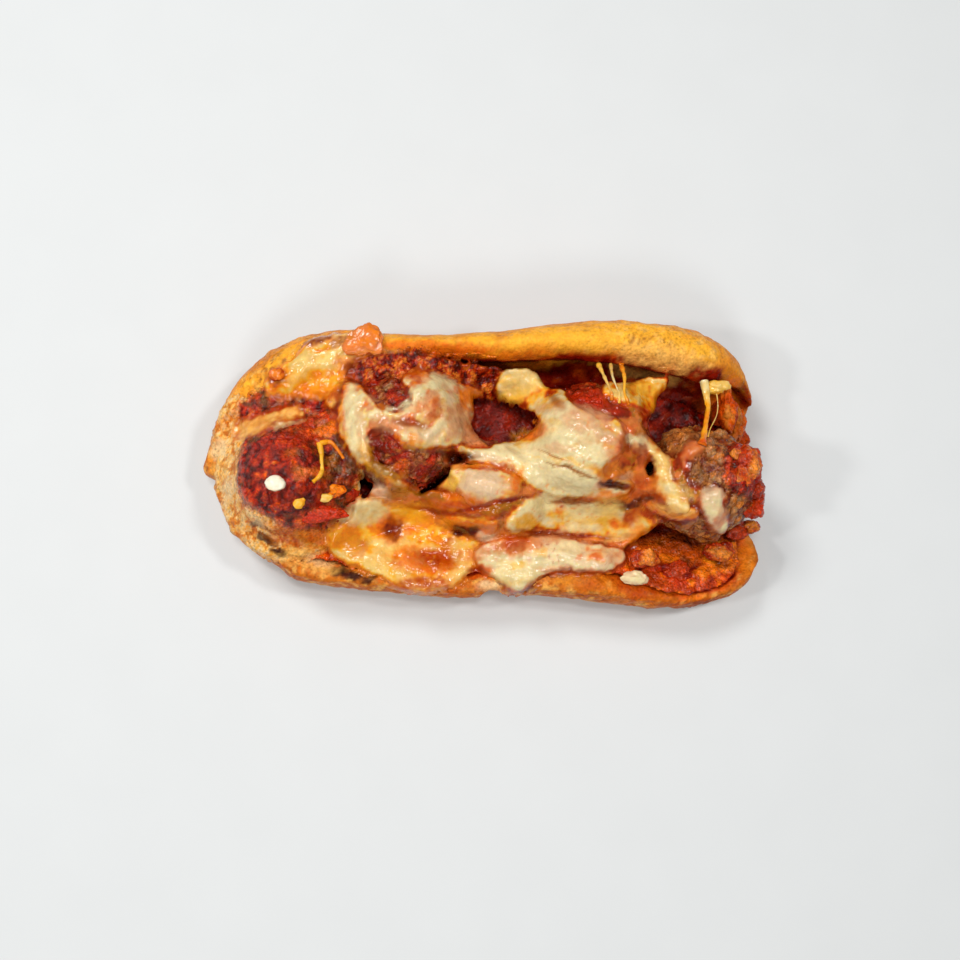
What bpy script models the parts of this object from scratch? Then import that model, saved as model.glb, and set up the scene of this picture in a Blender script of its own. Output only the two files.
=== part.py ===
"""A hot pizza sandwich lying open: a hinged bread roll holding meatballs in tomato sauce under melted cheese.

Sizes are in millimetres, and MM turns them into Blender's metres. X runs along the roll from its closed
end to its open end, Y towards the tall back wall, and Z up from the flat underside.
"""

from math import cos, pi

import bmesh
import bpy
import numpy as np
from mathutils import Matrix, Vector, noise
from mathutils.bvhtree import BVHTree
from mathutils.geometry import delaunay_2d_cdt

MM = 0.001
CLEARANCE = 0.3  # between any two pieces that touch
CENTRE = (-0.1, 2.5)  # middle of the sandwich's length and width, moved to the origin at the end

# Outline of the roll seen from above, as (x, y) along each long side, and the tip each side curves in to
ROLL_LEFT, ROLL_RIGHT = -108.3, 108.6
BACK_EDGE = ((-56, 54.5), (-35, 53), (-15, 52), (2, 52.5), (15, 55), (32, 57), (54, 58))
FRONT_EDGE = ((-56, -45), (-35, -47), (-14, -49.5), (0, -49), (15, -47.5), (32, -49.5), (62, -53), (76, -54))
LEFT_TIP_Y, LEFT_ROUNDING_FROM = -3.0, -56.0
BACK_TIP_Y, BACK_ROUNDING_FROM = 22.0, 50.0
FRONT_TIP_Y, FRONT_ROUNDING_FROM = -30.0, 68.0

# Heights and thicknesses of its walls, as (x, size)
BACK_HEIGHT = ((-108, 25), (-95, 31), (-75, 37), (-45, 41), (0, 42.5), (60, 42.5), (90, 38), (107, 27))
FRONT_HEIGHT = ((-108, 25), (-90, 28), (-60, 26), (0, 25), (40, 27), (90, 22), (107, 18))
BACK_WALL = (
    (-108, 16), (-82, 21), (-66, 24), (-54, 20.5), (-31, 14), (-13, 12), (6, 14.5), (43, 19.5), (92, 21), (107, 12),
)
FRONT_WALL = ((-108, 8), (-60, 7.5), (-20, 6.5), (10, 9), (30, 11), (48, 9.5), (62, 8), (107, 7))
UNDERCUT = ((-98, 0.5), (-40, 1.5), (10, 4.5), (60, 7), (90, 5), (107, 2))
FLOOR_THICK = 8.0
CLOSED_END_FROM, CLOSED_END_TO = -78.0, -99.0
OPEN_END_FROM, FLOOR_SETBACK, BACK_SETBACK = 62.0, 11.0, 5.0
NOSE_LENGTH, NOSE_HEIGHT = 14.0, 12.0
STATIONS = 21
CRUST_LUMPS, CRUST_WRINKLES = 0.8, 0.4
TEAR_CENTRE, TEAR_SIZE = (3.5, -51.5, 13.0), (6.0, 7.0, 22.0)

# Meatballs: name, x, y, radius, noise offset
MEATBALLS = (
    ("meatball_left", -73.0, -4.0, 20.0, 3.1),
    ("meatball_back_left", -30.5, 14.0, 22.3, 11.7),
    ("meatball_back_right", 40.5, 10.5, 21.8, 37.3),
    ("meatball_right", 81.5, -5.0, 20.8, 41.9),
    ("meatball_middle", 4.5, -6.5, 16.8, 23.9),
)
MEATBALL_SQUASH = 0.94
MEATBALL_LUMPS, MEATBALL_CRAGS = 1.3, 0.6
MEATBALL_SIDES, MEATBALL_RINGS = 22, 13
ABOVE_FLOOR = 31.0  # below the overhanging lip of the back wall

# Melted cheese: a sheet lies over what is under it like a stretched skin
GRID = 1.5
SKIN_STEPS = 70
SKIN_SAG = 0.05
OUTSIDE_HEIGHT = 12.0  # where a sheet that hangs over the roll's edge would come to
EDGE_THICK = 0.9
EDGE_ROUNDING = 3.5

# Sauce lining the hollow: its outline, and the level of the pool in it
SAUCE_OUTLINE = (
    (-94, 2), (-88, -16), (-78, -27), (-60, -34), (-36, -37), (-12, -39), (12, -38), (36, -36), (52, -40),
    (64, -45), (78, -47), (92, -43), (99, -34), (98, -20), (97, 0), (94, 18), (82, 27), (62, 32), (36, 34),
    (10, 34), (-12, 36), (-32, 34), (-52, 27), (-70, 22), (-86, 18),
)
SAUCE_POOL = ((-98, 24), (-84, 21), (-55, 15), (0, 13.5), (60, 13), (98, 12))
SAUCE_COAT, SAUCE_LUMPS, SAUCE_FILM, SAUCE_SPACING = 1.6, 0.9, 0.8, 5.5

# Pieces in the sauce: name, centre, half sizes, noise offset; a centre without a height rests on what is below
BITS = (
    ("tomato_chunk_left", (-60, 13, 33), (8.5, 8, 5), 5.2),
    ("tomato_chunk_front", (-53, -9, 30), (6.5, 5, 4.5), 9.4),
    ("tomato_chunk_corner", (99.5, -21.5, 15.5), (6, 3.6, 3.4), 21.3),
    ("garlic_piece", (-74.5, -8), (3.9, 3, 2), 27.8),
)
BIT_LUMPS, BIT_CRAGS, BIT_SIDES, BIT_RINGS = 0.9, 0.4, 12, 7
BIT_SINKS = 1.4

# Sheets of thick sauce, then of melted cheese, lowest first: name, thickness, noise offset, outline from above
SHEET_SPACING, SHEET_LUMPS = 3.3, 0.45
SAUCE_COVERS = (
    ("sauce_over_left", 1.8, 3.3, (
        (-90, -2), (-86, 8), (-76, 11), (-66, 9), (-59, 2), (-58, -6), (-62, -15), (-72, -19), (-82, -17), (-88, -11),
    )),
    ("sauce_over_right", 3.4, 14.6, (
        (88, -9), (86.5, -1), (89, 6), (95, 8), (100, 3), (101.5, -5), (99, -11), (93, -12),
    )),
)
CHEESE = (
    ("cheese_back_rim", 2.2, 1.3, (
        (-69, 42), (-64, 48), (-57, 48.5), (-51, 49.5), (-44, 51.5), (-39, 49), (-38, 45), (-44, 41), (-50.5, 38),
        (-53, 31), (-55, 26), (-60, 25), (-66.5, 27), (-75, 27), (-82, 28), (-80.5, 34), (-74, 37.5),
    )),
    ("cheese_left_strip", 2.0, 2.9, (
        (-96, 15.5), (-88, 17.5), (-79, 20.5), (-69, 24), (-66.5, 21), (-69, 16.5), (-74, 14), (-83, 12.5),
        (-92.5, 10.5), (-96.5, 12.5),
    )),
    ("cheese_front_left", 2.4, 4.1, (
        (-48.5, -13), (-41.5, -12), (-35, -14.5), (-28, -14.5), (-21.5, -13.5), (-18.5, -19.5), (-10, -24.5),
        (-2, -28), (-1, -33), (-6, -39), (-11, -44), (-20.5, -46), (-31.5, -45), (-38, -40.5), (-46, -37.5),
        (-57, -31.5), (-59.5, -26.5), (-55, -21.5), (-50, -17.5),
    )),
    ("cheese_fold", 1.6, 6.6, (
        (-24, -9), (-15, -9), (-7, -15), (4, -16), (6, -21), (3, -26), (-2, -26.5), (-9, -22.5), (-16.5, -17.5),
        (-20, -13),
    )),
    ("cheese_front", 2.2, 7.7, (
        (17, -11), (23, -12), (28, -14), (44, -15), (57, -14.5), (61, -19), (63.5, -24), (56, -24), (48.5, -26.5),
        (39.5, -25), (30, -23), (20.5, -22.5), (12, -24.5), (7, -22.5), (8.5, -19), (12, -15.5),
    )),
    ("cheese_drip", 2.8, 8.2, (
        (-3, -30), (1, -27.5), (7, -27), (13.5, -26), (23.5, -25), (32.5, -26), (41, -28), (53.5, -30), (54.5, -34),
        (47.5, -38.5), (38.5, -39.5), (30.5, -38.5), (24, -39), (19, -42), (14, -46.5), (10.5, -46.5), (6.5, -42),
        (1, -39), (-3, -36),
    )),
    ("cheese_back_left", 1.8, 10.4, (
        (-53, 30), (-45, 28.5), (-39, 20), (-33, 17), (-27, 19), (-26, 24), (-30, 29), (-28, 34), (-20, 34),
        (-12, 32.5), (-1.5, 31), (1, 27), (-4, 21), (-4.5, 14.5), (-1.5, 10.5), (-11, 7), (-17, 5.5), (-25.5, 4.5),
        (-31, 7.5), (-36, 12), (-42, 11.5), (-41, 2), (-33, -3.5), (-26, -8), (-34, -8), (-44, -3), (-50, 6),
        (-54.5, 15), (-53, 22),
    )),
    ("cheese_middle", 3.2, 11.8, (
        (-13, -1.5), (-4, -1.5), (4.5, -2), (10, -4), (14, -7.5), (12, -11), (4.5, -14), (-3.5, -14), (-9, -10),
    )),
    ("cheese_back_right", 1.8, 13.1, (
        (51.5, 31), (59.5, 34), (70, 34), (69, 30), (66.5, 25.5), (64.5, 19.5), (57, 21.5), (51, 22), (43, 25),
        (43.5, 31),
    )),
    ("cheese_centre", 2.4, 15.5, (
        (7.5, 37), (13, 38), (19.5, 36.5), (23.5, 31.5), (29.5, 28), (36, 19.5), (42, 15), (48, 15.5), (50, 9),
        (48, 2.5), (42, -1), (43, -4.5), (49, -5.5), (54.5, -4.5), (55.5, -7.5), (51, -11.5), (43.5, -12.5),
        (30, -11.5), (17, -7.5), (11, -1), (4.5, 1), (-11, 1), (-15.5, 3), (-10, 6.5), (0.5, 6), (4.5, 9),
        (11, 9.5), (19.5, 10), (20.5, 14.5), (14, 22.5), (5.5, 28), (4, 31),
    )),
    ("cheese_right", 1.8, 17.3, (
        (52.5, 8.5), (56, 10.5), (62, 9), (66, 5.5), (67, -0.5), (68, -6), (72, -10.5), (74.5, -15), (74, -19),
        (68, -16.5), (63, -12), (61.5, -5.5), (62, 1), (60, 4.5), (54, 5.5),
    )),
    ("cheese_right_patch", 1.6, 19.9, (
        (76.5, -8.5), (80, -7), (84, -8), (85.5, -12.5), (86, -17), (89, -21), (89.5, -25), (84.5, -24),
        (80, -20.5), (77.5, -17.5), (77.5, -13),
    )),
    ("cheese_right_scrap", 1.8, 22.2, ((71.5, 6), (79, 9), (80.5, 4), (76, 0), (72.5, -3.5), (70, 0))),
)
STRAND_PATH = ((82.5, 32.5, 36), (82.8, 27, 38), (82.8, 21.5, 40), (81, 15, 43), (79, 9, 47), (78, 6.5, 48.5))
STRAND_RADIUS, STRAND_SIDES = 1.3, 8


def along(x, keys):
    """The value at x on a smooth curve through (x, value) keys, flat beyond its ends."""
    keys = np.array(keys, float)
    x = min(max(x, keys[0, 0]), keys[-1, 0])
    i = min(max(int(np.searchsorted(keys[:, 0], x, side="right")) - 1, 0), len(keys) - 2)
    slopes = np.gradient(keys[:, 1], keys[:, 0])
    width = keys[i + 1, 0] - keys[i, 0]
    rise = keys[i + 1, 1] - keys[i, 1]
    t = (x - keys[i, 0]) / width
    bend = (1 - t) * (slopes[i] * width - rise) - t * (slopes[i + 1] * width - rise)
    return float(keys[i, 1] + t * rise + t * (1 - t) * bend)


def rounding(x, start, end, power):
    """1 at start, falling to 0 at end as a superellipse does."""
    t = min(max((x - start) / (end - start), 0), 1)
    return (1 - t**power) ** (1 / power)


def wobble(x, y, z, scale, seed=0.0):
    """Smooth noise from about -1 to 1, with bumps of about the given scale."""
    return noise.noise(Vector((x / scale + seed, y / scale - seed, z / scale + 2 * seed)))


def roll_edges(x):
    """The outermost y of the roll at the front and the back."""
    back, front = along(x, BACK_EDGE), along(x, FRONT_EDGE)
    if x < 0:
        left = rounding(x, LEFT_ROUNDING_FROM, ROLL_LEFT, 2.0)
        return LEFT_TIP_Y + (front - LEFT_TIP_Y) * left, LEFT_TIP_Y + (back - LEFT_TIP_Y) * left
    back_right = rounding(x, BACK_ROUNDING_FROM, ROLL_RIGHT, 2.5)
    front_right = rounding(x, FRONT_ROUNDING_FROM, ROLL_RIGHT, 2.2)
    return FRONT_TIP_Y + (front - FRONT_TIP_Y) * front_right, BACK_TIP_Y + (back - BACK_TIP_Y) * back_right


def roll_ring(x):
    """Section of the roll at x: its outer skin from front rim to back crown, then its inner skin back again.

    Each point is (x, y, z); near the open end the floor and the back wall stop short of the front wall.
    """
    front, back = roll_edges(x)
    width = back - front
    low, high = along(x, FRONT_HEIGHT), along(x, BACK_HEIGHT)
    end = rounding(x, 88, ROLL_RIGHT, 2.0) * 0.8 + 0.2 if x > 0 else 1.0
    front_wall = min(along(x, FRONT_WALL), 0.3 * width) * end
    back_wall = min(along(x, BACK_WALL), 0.4 * width) * end
    lip, rim = back - back_wall, front + front_wall
    under = along(x, UNDERCUT) * end
    foot = min(13, 0.2 * width)
    hollow = rounding(x, CLOSED_END_FROM, CLOSED_END_TO, 2.2)

    def inner(across, z):
        y = rim + across * (lip - rim)
        solid = low + (high - low) * (y - front) / width
        return y, solid + (z - solid) * hollow

    outer_skin = [
        (front + 0.3 * front_wall, low),
        (front, 0.62 * low),
        (front + 2, 0.2 * low),
        (front + foot, 0),
        (front + 0.5 * width, 0),
        (back - foot, 0),
        (back - 2.5, 0.18 * high),
        (back + 0.4, 0.5 * high),
        (back - 1.5, 0.84 * high),
        (back - 0.4 * back_wall, 1.03 * high),
    ]
    recess = 1 + under / (lip - rim)
    inner_skin = [
        (lip + 0.28 * back_wall, high),
        inner(1.0, 0.83 * high),
        inner(recess, 0.6 * high),
        inner(recess - 0.02, 0.36 * high),
        inner(0.8, FLOOR_THICK),
        inner(0.55, FLOOR_THICK),
        inner(0.29, FLOOR_THICK),
        inner(0.12, FLOOR_THICK + 0.48 * (low - FLOOR_THICK)),
        inner(0.01, low - 2.5),
        (front + 0.78 * front_wall, low),
    ]
    nose = rounding(x, ROLL_LEFT + NOSE_LENGTH, ROLL_LEFT, 2.0) * rounding(x, ROLL_RIGHT - NOSE_LENGTH, ROLL_RIGHT, 2.0)
    nose = 0.35 + 0.65 * nose
    open_end = min(max((x - OPEN_END_FROM) / (ROLL_RIGHT - OPEN_END_FROM), 0), 1) ** 2
    ring = []
    for y, z in outer_skin + inner_skin:
        across = (y - front) / width
        setback = FLOOR_SETBACK * max(0, 1 - abs(across - 0.5) / 0.36) ** 0.5 + BACK_SETBACK * max(0, across - 0.5)
        ring.append((x - setback * open_end, y, NOSE_HEIGHT + (z - NOSE_HEIGHT) * nose))
    return ring


def add_material(name, colour, roughness):
    material = bpy.data.materials.new(name)
    material.use_nodes = True
    shader = material.node_tree.nodes["Principled BSDF"]
    shader.inputs["Base Color"].default_value = (*colour, 1)
    shader.inputs["Roughness"].default_value = roughness
    shader.inputs["Metallic"].default_value = 0.0
    return material


def add_object(name, points, faces, collection):
    """A mesh object from points in millimetres, its faces turned outwards."""
    mesh = bpy.data.meshes.new(name)
    mesh.from_pydata([tuple(c * MM for c in p) for p in points], [], [list(f) for f in faces])
    shaped = bmesh.new()
    shaped.from_mesh(mesh)
    bmesh.ops.recalc_face_normals(shaped, faces=shaped.faces)
    shaped.to_mesh(mesh)
    shaped.free()
    made = bpy.data.objects.new(name, mesh)
    collection.objects.link(made)
    return made


def settle_modifiers(made):
    """Replaces the object's mesh by what its modifiers make of it."""
    bpy.context.view_layer.update()
    shaped = bpy.data.meshes.new_from_object(made.evaluated_get(bpy.context.evaluated_depsgraph_get()))
    made.modifiers.clear()
    made.data = shaped


def drop_scraps(made):
    """Keeps only the largest connected piece of the object's mesh."""
    shaped = bmesh.new()
    shaped.from_mesh(made.data)
    left, pieces = set(shaped.verts), []
    while left:
        piece, edge = set(), [left.pop()]
        while edge:
            vertex = edge.pop()
            piece.add(vertex)
            for link in vertex.link_edges:
                other = link.other_vert(vertex)
                if other in left:
                    left.discard(other)
                    edge.append(other)
        pieces.append(piece)
    pieces.sort(key=len)
    bmesh.ops.delete(shaped, geom=[v for piece in pieces[:-1] for v in piece], context="VERTS")
    bmesh.ops.triangulate(shaped, faces=shaped.faces)
    shaped.to_mesh(made.data)
    shaped.free()


def cut(made, cutters):
    """Takes the cutters' space out of the object."""
    for cutter in cutters:
        modifier = made.modifiers.new("cut " + cutter.name, "BOOLEAN")
        modifier.operation = "DIFFERENCE"
        modifier.solver = "EXACT"
        modifier.object = cutter
    settle_modifiers(made)
    drop_scraps(made)


def points_of(made):
    """The object's vertices in millimetres."""
    return np.array([v.co for v in made.data.vertices]) / MM


def boxes_meet(a, b, margin=0.6):
    """Whether the two objects' boxes come within margin of each other."""
    pa, pb = points_of(a), points_of(b)
    return bool(np.all(pa.min(0) < pb.max(0) + margin) and np.all(pb.min(0) < pa.max(0) + margin))


def surface_tree(made):
    """The object's surface in millimetres, for measuring against."""
    return BVHTree.FromPolygons(points_of(made).tolist(), [p.vertices[:] for p in made.data.polygons])


def comes_close(made, other):
    """Whether the object's surface comes nearer to the other's than CLEARANCE, or goes into it."""
    tree = surface_tree(other)
    if tree.overlap(surface_tree(made)):
        return True
    for point in points_of(made):
        place, normal, _, distance = tree.find_nearest(Vector(point), 6.0)
        if place is not None and (distance < CLEARANCE or (Vector(point) - place).dot(normal) < 0):
            return True
    return False


def make_room(made, others, helpers):
    """Cuts the object back where it comes closer to the others than CLEARANCE."""
    grown = []
    for other in others:
        if not boxes_meet(made, other) or not comes_close(made, other):
            continue
        copy = other.copy()
        copy.data = other.data.copy()
        copy.name = "room for " + other.name
        copy.hide_render = True
        copy.display_type = "WIRE"
        helpers.objects.link(copy)
        normals = [v.normal.copy() for v in other.data.vertices]
        for vertex, normal in zip(copy.data.vertices, normals):
            vertex.co += normal * CLEARANCE * 1.3 * MM
        grown.append(copy)
    if grown:
        cut(made, grown)
    for copy in grown:
        bpy.data.objects.remove(copy)


def make_roll(parts, helpers):
    """The hinged roll: closed at its left end, open at its right end, and torn at the front."""
    half = (ROLL_RIGHT - ROLL_LEFT) / 2
    rings = []
    for i in range(STATIONS):
        even = 2 * i / (STATIONS - 1) - 1
        bunched = -cos(pi * i / (STATIONS - 1))
        rings.append(roll_ring(ROLL_LEFT + half * (1 + 0.5 * even + 0.5 * bunched) * 0.998 + 0.2))
    size = len(rings[0])
    faces = [
        (i * size + j, i * size + (j + 1) % size, (i + 1) * size + (j + 1) % size, (i + 1) * size + j)
        for i in range(STATIONS - 1)
        for j in range(size)
    ]
    for base in (0, (STATIONS - 1) * size):
        faces += [
            (base + j, base + j + 1, base + size - 2 - j, base + size - 1 - j) for j in range(size // 2 - 1)
        ]
    roll = add_object("roll", [p for ring in rings for p in ring], faces, parts)
    soft = roll.modifiers.new("soft loaf", "SUBSURF")
    soft.levels = soft.render_levels = 1
    settle_modifiers(roll)
    for vertex in roll.data.vertices:
        x, y, z = vertex.co / MM
        lump = CRUST_LUMPS * wobble(x, y, z, 16) + CRUST_WRINKLES * wobble(x, y, z, 6, 5.0)
        vertex.co += vertex.normal * lump * MM * min(1, max(0, (z - 1.5) / 6))
        vertex.co.z = max(vertex.co.z, 0)

    shaped = bmesh.new()
    bmesh.ops.create_uvsphere(shaped, u_segments=12, v_segments=10, radius=1)
    size = Matrix.Diagonal((*[s * MM for s in TEAR_SIZE], 1))
    bmesh.ops.transform(shaped, matrix=Matrix.Translation(Vector(TEAR_CENTRE) * MM) @ size, verts=shaped.verts)
    mesh = bpy.data.meshes.new("tear")
    shaped.to_mesh(mesh)
    shaped.free()
    tear = bpy.data.objects.new("tear", mesh)
    tear.hide_render = True
    tear.display_type = "WIRE"
    helpers.objects.link(tear)
    cut(roll, [tear])
    bpy.data.objects.remove(tear)
    return roll


def make_lump(name, place, size, seed, lumps, crags, sides, rings, collection):
    """A rough egg-shaped piece: a sphere scaled to its half sizes, with seeded bumps."""
    shaped = bmesh.new()
    bmesh.ops.create_uvsphere(shaped, u_segments=sides, v_segments=rings, radius=1)
    mean = sum(size) / 3
    for vertex in shaped.verts:
        x, y, z = vertex.co
        bump = lumps * wobble(x * mean, y * mean, z * mean, 0.7 * mean, seed)
        bump += crags * wobble(x * mean, y * mean, z * mean, 0.25 * mean, seed)
        vertex.co = Vector([c * s + p for c, s, p in zip((x, y, z), size, place)]) * MM
        vertex.co += Vector((x, y, z)) * bump * MM
    mesh = bpy.data.meshes.new(name)
    shaped.to_mesh(mesh)
    shaped.free()
    made = bpy.data.objects.new(name, mesh)
    collection.objects.link(made)
    return made


class Ground:
    """Heights of the pieces' upper faces, on a square grid over the sandwich."""

    def __init__(self):
        self.xs = np.arange(-114, 114 + GRID, GRID)
        self.ys = np.arange(-62, 64 + GRID, GRID)
        self.z = np.zeros((len(self.xs), len(self.ys)))

    def add(self, made, start=200.0):
        """Raises the heights wherever this piece, seen from the start height, stands above them."""
        tree = surface_tree(made)
        low, high = points_of(made).min(0), points_of(made).max(0)
        for i in np.flatnonzero((self.xs >= low[0]) & (self.xs <= high[0])):
            for j in np.flatnonzero((self.ys >= low[1]) & (self.ys <= high[1])):
                hit = tree.ray_cast(Vector((self.xs[i], self.ys[j], start)), Vector((0, 0, -1)))[0]
                if hit is not None:
                    self.z[i, j] = max(self.z[i, j], hit.z)

    def skin(self, sag=SKIN_SAG, steps=SKIN_STEPS):
        """A stretched skin over the heights: it bridges narrow gaps and sags into wide ones."""
        z = self.z.copy()
        for _ in range(steps):
            spread = z.copy()
            spread[1:-1, 1:-1] = (z[2:, 1:-1] + z[:-2, 1:-1] + z[1:-1, 2:] + z[1:-1, :-2]) / 4 - sag
            z = np.maximum(self.z, spread)
        return z

    def read(self, heights, x, y):
        """The height at (x, y), between the grid's points."""
        u, v = (x - self.xs[0]) / GRID, (y - self.ys[0]) / GRID
        i, j = int(u), int(v)
        u, v = u - i, v - j
        low = heights[i, j] * (1 - v) + heights[i, j + 1] * v
        high = heights[i + 1, j] * (1 - v) + heights[i + 1, j + 1] * v
        return low * (1 - u) + high * u


def highest_near(heights):
    """The highest of each grid point's height and its eight neighbours' heights."""
    padded = np.pad(heights, 1, mode="edge")
    rows, columns = heights.shape
    return np.max([padded[i : i + rows, j : j + columns] for i in range(3) for j in range(3)], axis=0)


def set_down(made, ground, lift):
    """Moves the piece up or down until its lowest gap to the ground's heights is lift."""
    gap = min(z - ground.read(ground.z, x, y) for x, y, z in points_of(made))
    for vertex in made.data.vertices:
        vertex.co.z += (lift - gap) * MM


def smooth_outline(outline, spacing):
    """Evenly spaced points on a smooth closed curve through the outline's points."""
    points = np.array(outline, float)
    before, after, later = np.roll(points, 1, 0), np.roll(points, -1, 0), np.roll(points, -2, 0)
    steps = np.linspace(0, 1, 12, endpoint=False)[None, :, None]
    a, b, c, d = (p[:, None, :] for p in (before, points, after, later))
    curve = b + 0.5 * steps * (c - a + steps * (2 * a - 5 * b + 4 * c - d + steps * (3 * (b - c) + d - a)))
    curve = curve.reshape(-1, 2)
    lengths = np.linalg.norm(np.roll(curve, -1, 0) - curve, axis=1)
    travelled = np.concatenate([[0], np.cumsum(lengths)])
    count = max(8, round(travelled[-1] / spacing))
    closed = np.vstack([curve, curve[:1]])
    wanted = np.arange(count) * travelled[-1] / count
    return np.stack([np.interp(wanted, travelled, closed[:, k]) for k in (0, 1)], 1)


def edge_distance(points, rim):
    """How far each point lies from the closed line through the rim's points."""
    start, step = rim, np.roll(rim, -1, 0) - rim
    offset = points[:, None, :] - start[None]
    share = np.clip((offset * step).sum(2) / (step * step).sum(1), 0, 1)
    return np.linalg.norm(offset - share[..., None] * step[None], axis=2).min(1)


def fill_outline(outline, spacing):
    """Points and triangles that fill the smooth curve through the outline, and the curve's own points."""
    rim = smooth_outline(outline, spacing)
    xs = np.arange(rim[:, 0].min(), rim[:, 0].max(), spacing)
    ys = np.arange(rim[:, 1].min(), rim[:, 1].max(), spacing * 0.87)
    inside = np.array([(x + (j % 2) * spacing / 2, y) for j, y in enumerate(ys) for x in xs])
    inside = inside[edge_distance(inside, rim) > 0.6 * spacing]
    flat = [Vector(p) for p in np.vstack([rim, inside])]
    loop = [list(range(len(rim)))]
    points, _, faces, _, _, _ = delaunay_2d_cdt(flat, [], loop, 1, 1e-5)
    used = sorted({i for face in faces for i in face})
    place = {old: new for new, old in enumerate(used)}
    points = np.array([points[i] for i in used])
    return points, [[place[i] for i in face] for face in faces], rim


def add_sheet(name, outline, spacing, under, over, collection):
    """A closed sheet that fills the outline, between the two height functions of (x, y, distance to edge)."""
    flat, faces, rim = fill_outline(outline, spacing)
    inset = edge_distance(flat, rim)
    count = len(flat)
    bottom = [(x, y, under(x, y, d)) for (x, y), d in zip(flat, inset)]
    top = [(x, y, over(x, y, d)) for (x, y), d in zip(flat, inset)]
    edges = {}
    for face in faces:
        for a, b in zip(face, face[1:] + face[:1]):
            edges[a, b] = edges.get((a, b), 0) + 1
    sides = [(a, b, b + count, a + count) for a, b in edges if (b, a) not in edges]
    upper = [[i + count for i in face] for face in faces]
    return add_object(name, bottom + top, [face[::-1] for face in faces] + upper + sides, collection)


def make_sauce(ground, balls, parts):
    """The sauce: a coat over the hollow that pools round the meatballs and runs thinly under them."""
    floor = highest_near(ground.z)
    roof = -highest_near(-underside(ground, balls))

    def under(x, y, _):
        return ground.read(floor, x, y) + CLEARANCE

    def over(x, y, inset):
        low = under(x, y, inset)
        share = min(1, inset / EDGE_ROUNDING)
        bumps = SAUCE_LUMPS * (wobble(x, y, 0, 7) + 0.6 * wobble(x, y, 0, 3.5, 9.0))
        coat = EDGE_THICK + (SAUCE_COAT + bumps) * share
        pool = (along(x, SAUCE_POOL) + bumps - low) * min(1, inset / 5)
        room = ground.read(roof, x, y) - 2 * CLEARANCE - low
        return low + max(SAUCE_FILM, min(max(coat, pool), room))

    return add_sheet("sauce", SAUCE_OUTLINE, SAUCE_SPACING, under, over, parts)


def underside(ground, balls):
    """Heights of the balls' undersides on the ground's grid, and a great height elsewhere."""
    heights = np.full(ground.z.shape, 200.0)
    for ball in balls:
        tree = surface_tree(ball)
        for i, x in enumerate(ground.xs):
            for j, y in enumerate(ground.ys):
                hit = tree.ray_cast(Vector((x, y, -10)), Vector((0, 0, 1)))[0]
                if hit is not None:
                    heights[i, j] = min(heights[i, j], hit.z)
    return heights


def lay_sheet(name, thick, seed, outline, ground, resting_on, parts, helpers):
    """A sheet of cheese or thick sauce over all that lies there already."""
    skin = highest_near(ground.skin())

    def under(x, y, _):
        return ground.read(skin, x, y) + CLEARANCE

    def over(x, y, inset):
        swelling = 1 + SHEET_LUMPS * wobble(x, y, 0, 6, seed)
        return under(x, y, inset) + EDGE_THICK + (thick - EDGE_THICK) * min(1, inset / EDGE_ROUNDING) * swelling

    sheet = add_sheet(name, outline, SHEET_SPACING, under, over, parts)
    make_room(sheet, resting_on, helpers)
    ground.add(sheet)
    return sheet


def make_strand(name, path, radius, resting_on, parts, helpers):
    """A round strand through the path's points, thicker at both ends."""
    path = [Vector(p) for p in path]
    points = []
    for i, place in enumerate(path):
        ahead = (path[min(i + 1, len(path) - 1)] - path[max(i - 1, 0)]).normalized()
        side = ahead.cross(Vector((0, 0, 1))).normalized()
        up = side.cross(ahead)
        wide = radius * (1 + 0.7 * abs(2 * i / (len(path) - 1) - 1) ** 2)
        for k in range(STRAND_SIDES):
            turn = Matrix.Rotation(2 * pi * k / STRAND_SIDES, 3, ahead)
            points.append(place + turn @ (up * wide))
    faces = [
        (i * STRAND_SIDES + j, i * STRAND_SIDES + (j + 1) % STRAND_SIDES,
         (i + 1) * STRAND_SIDES + (j + 1) % STRAND_SIDES, (i + 1) * STRAND_SIDES + j)
        for i in range(len(path) - 1)
        for j in range(STRAND_SIDES)
    ]
    faces.append(range(STRAND_SIDES))
    faces.append(range(len(points) - STRAND_SIDES, len(points)))
    strand = add_object(name, points, faces, parts)
    make_room(strand, resting_on, helpers)
    return strand


def paint(objects, material):
    for made in objects:
        made.data.materials.clear()
        made.data.materials.append(material)


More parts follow.
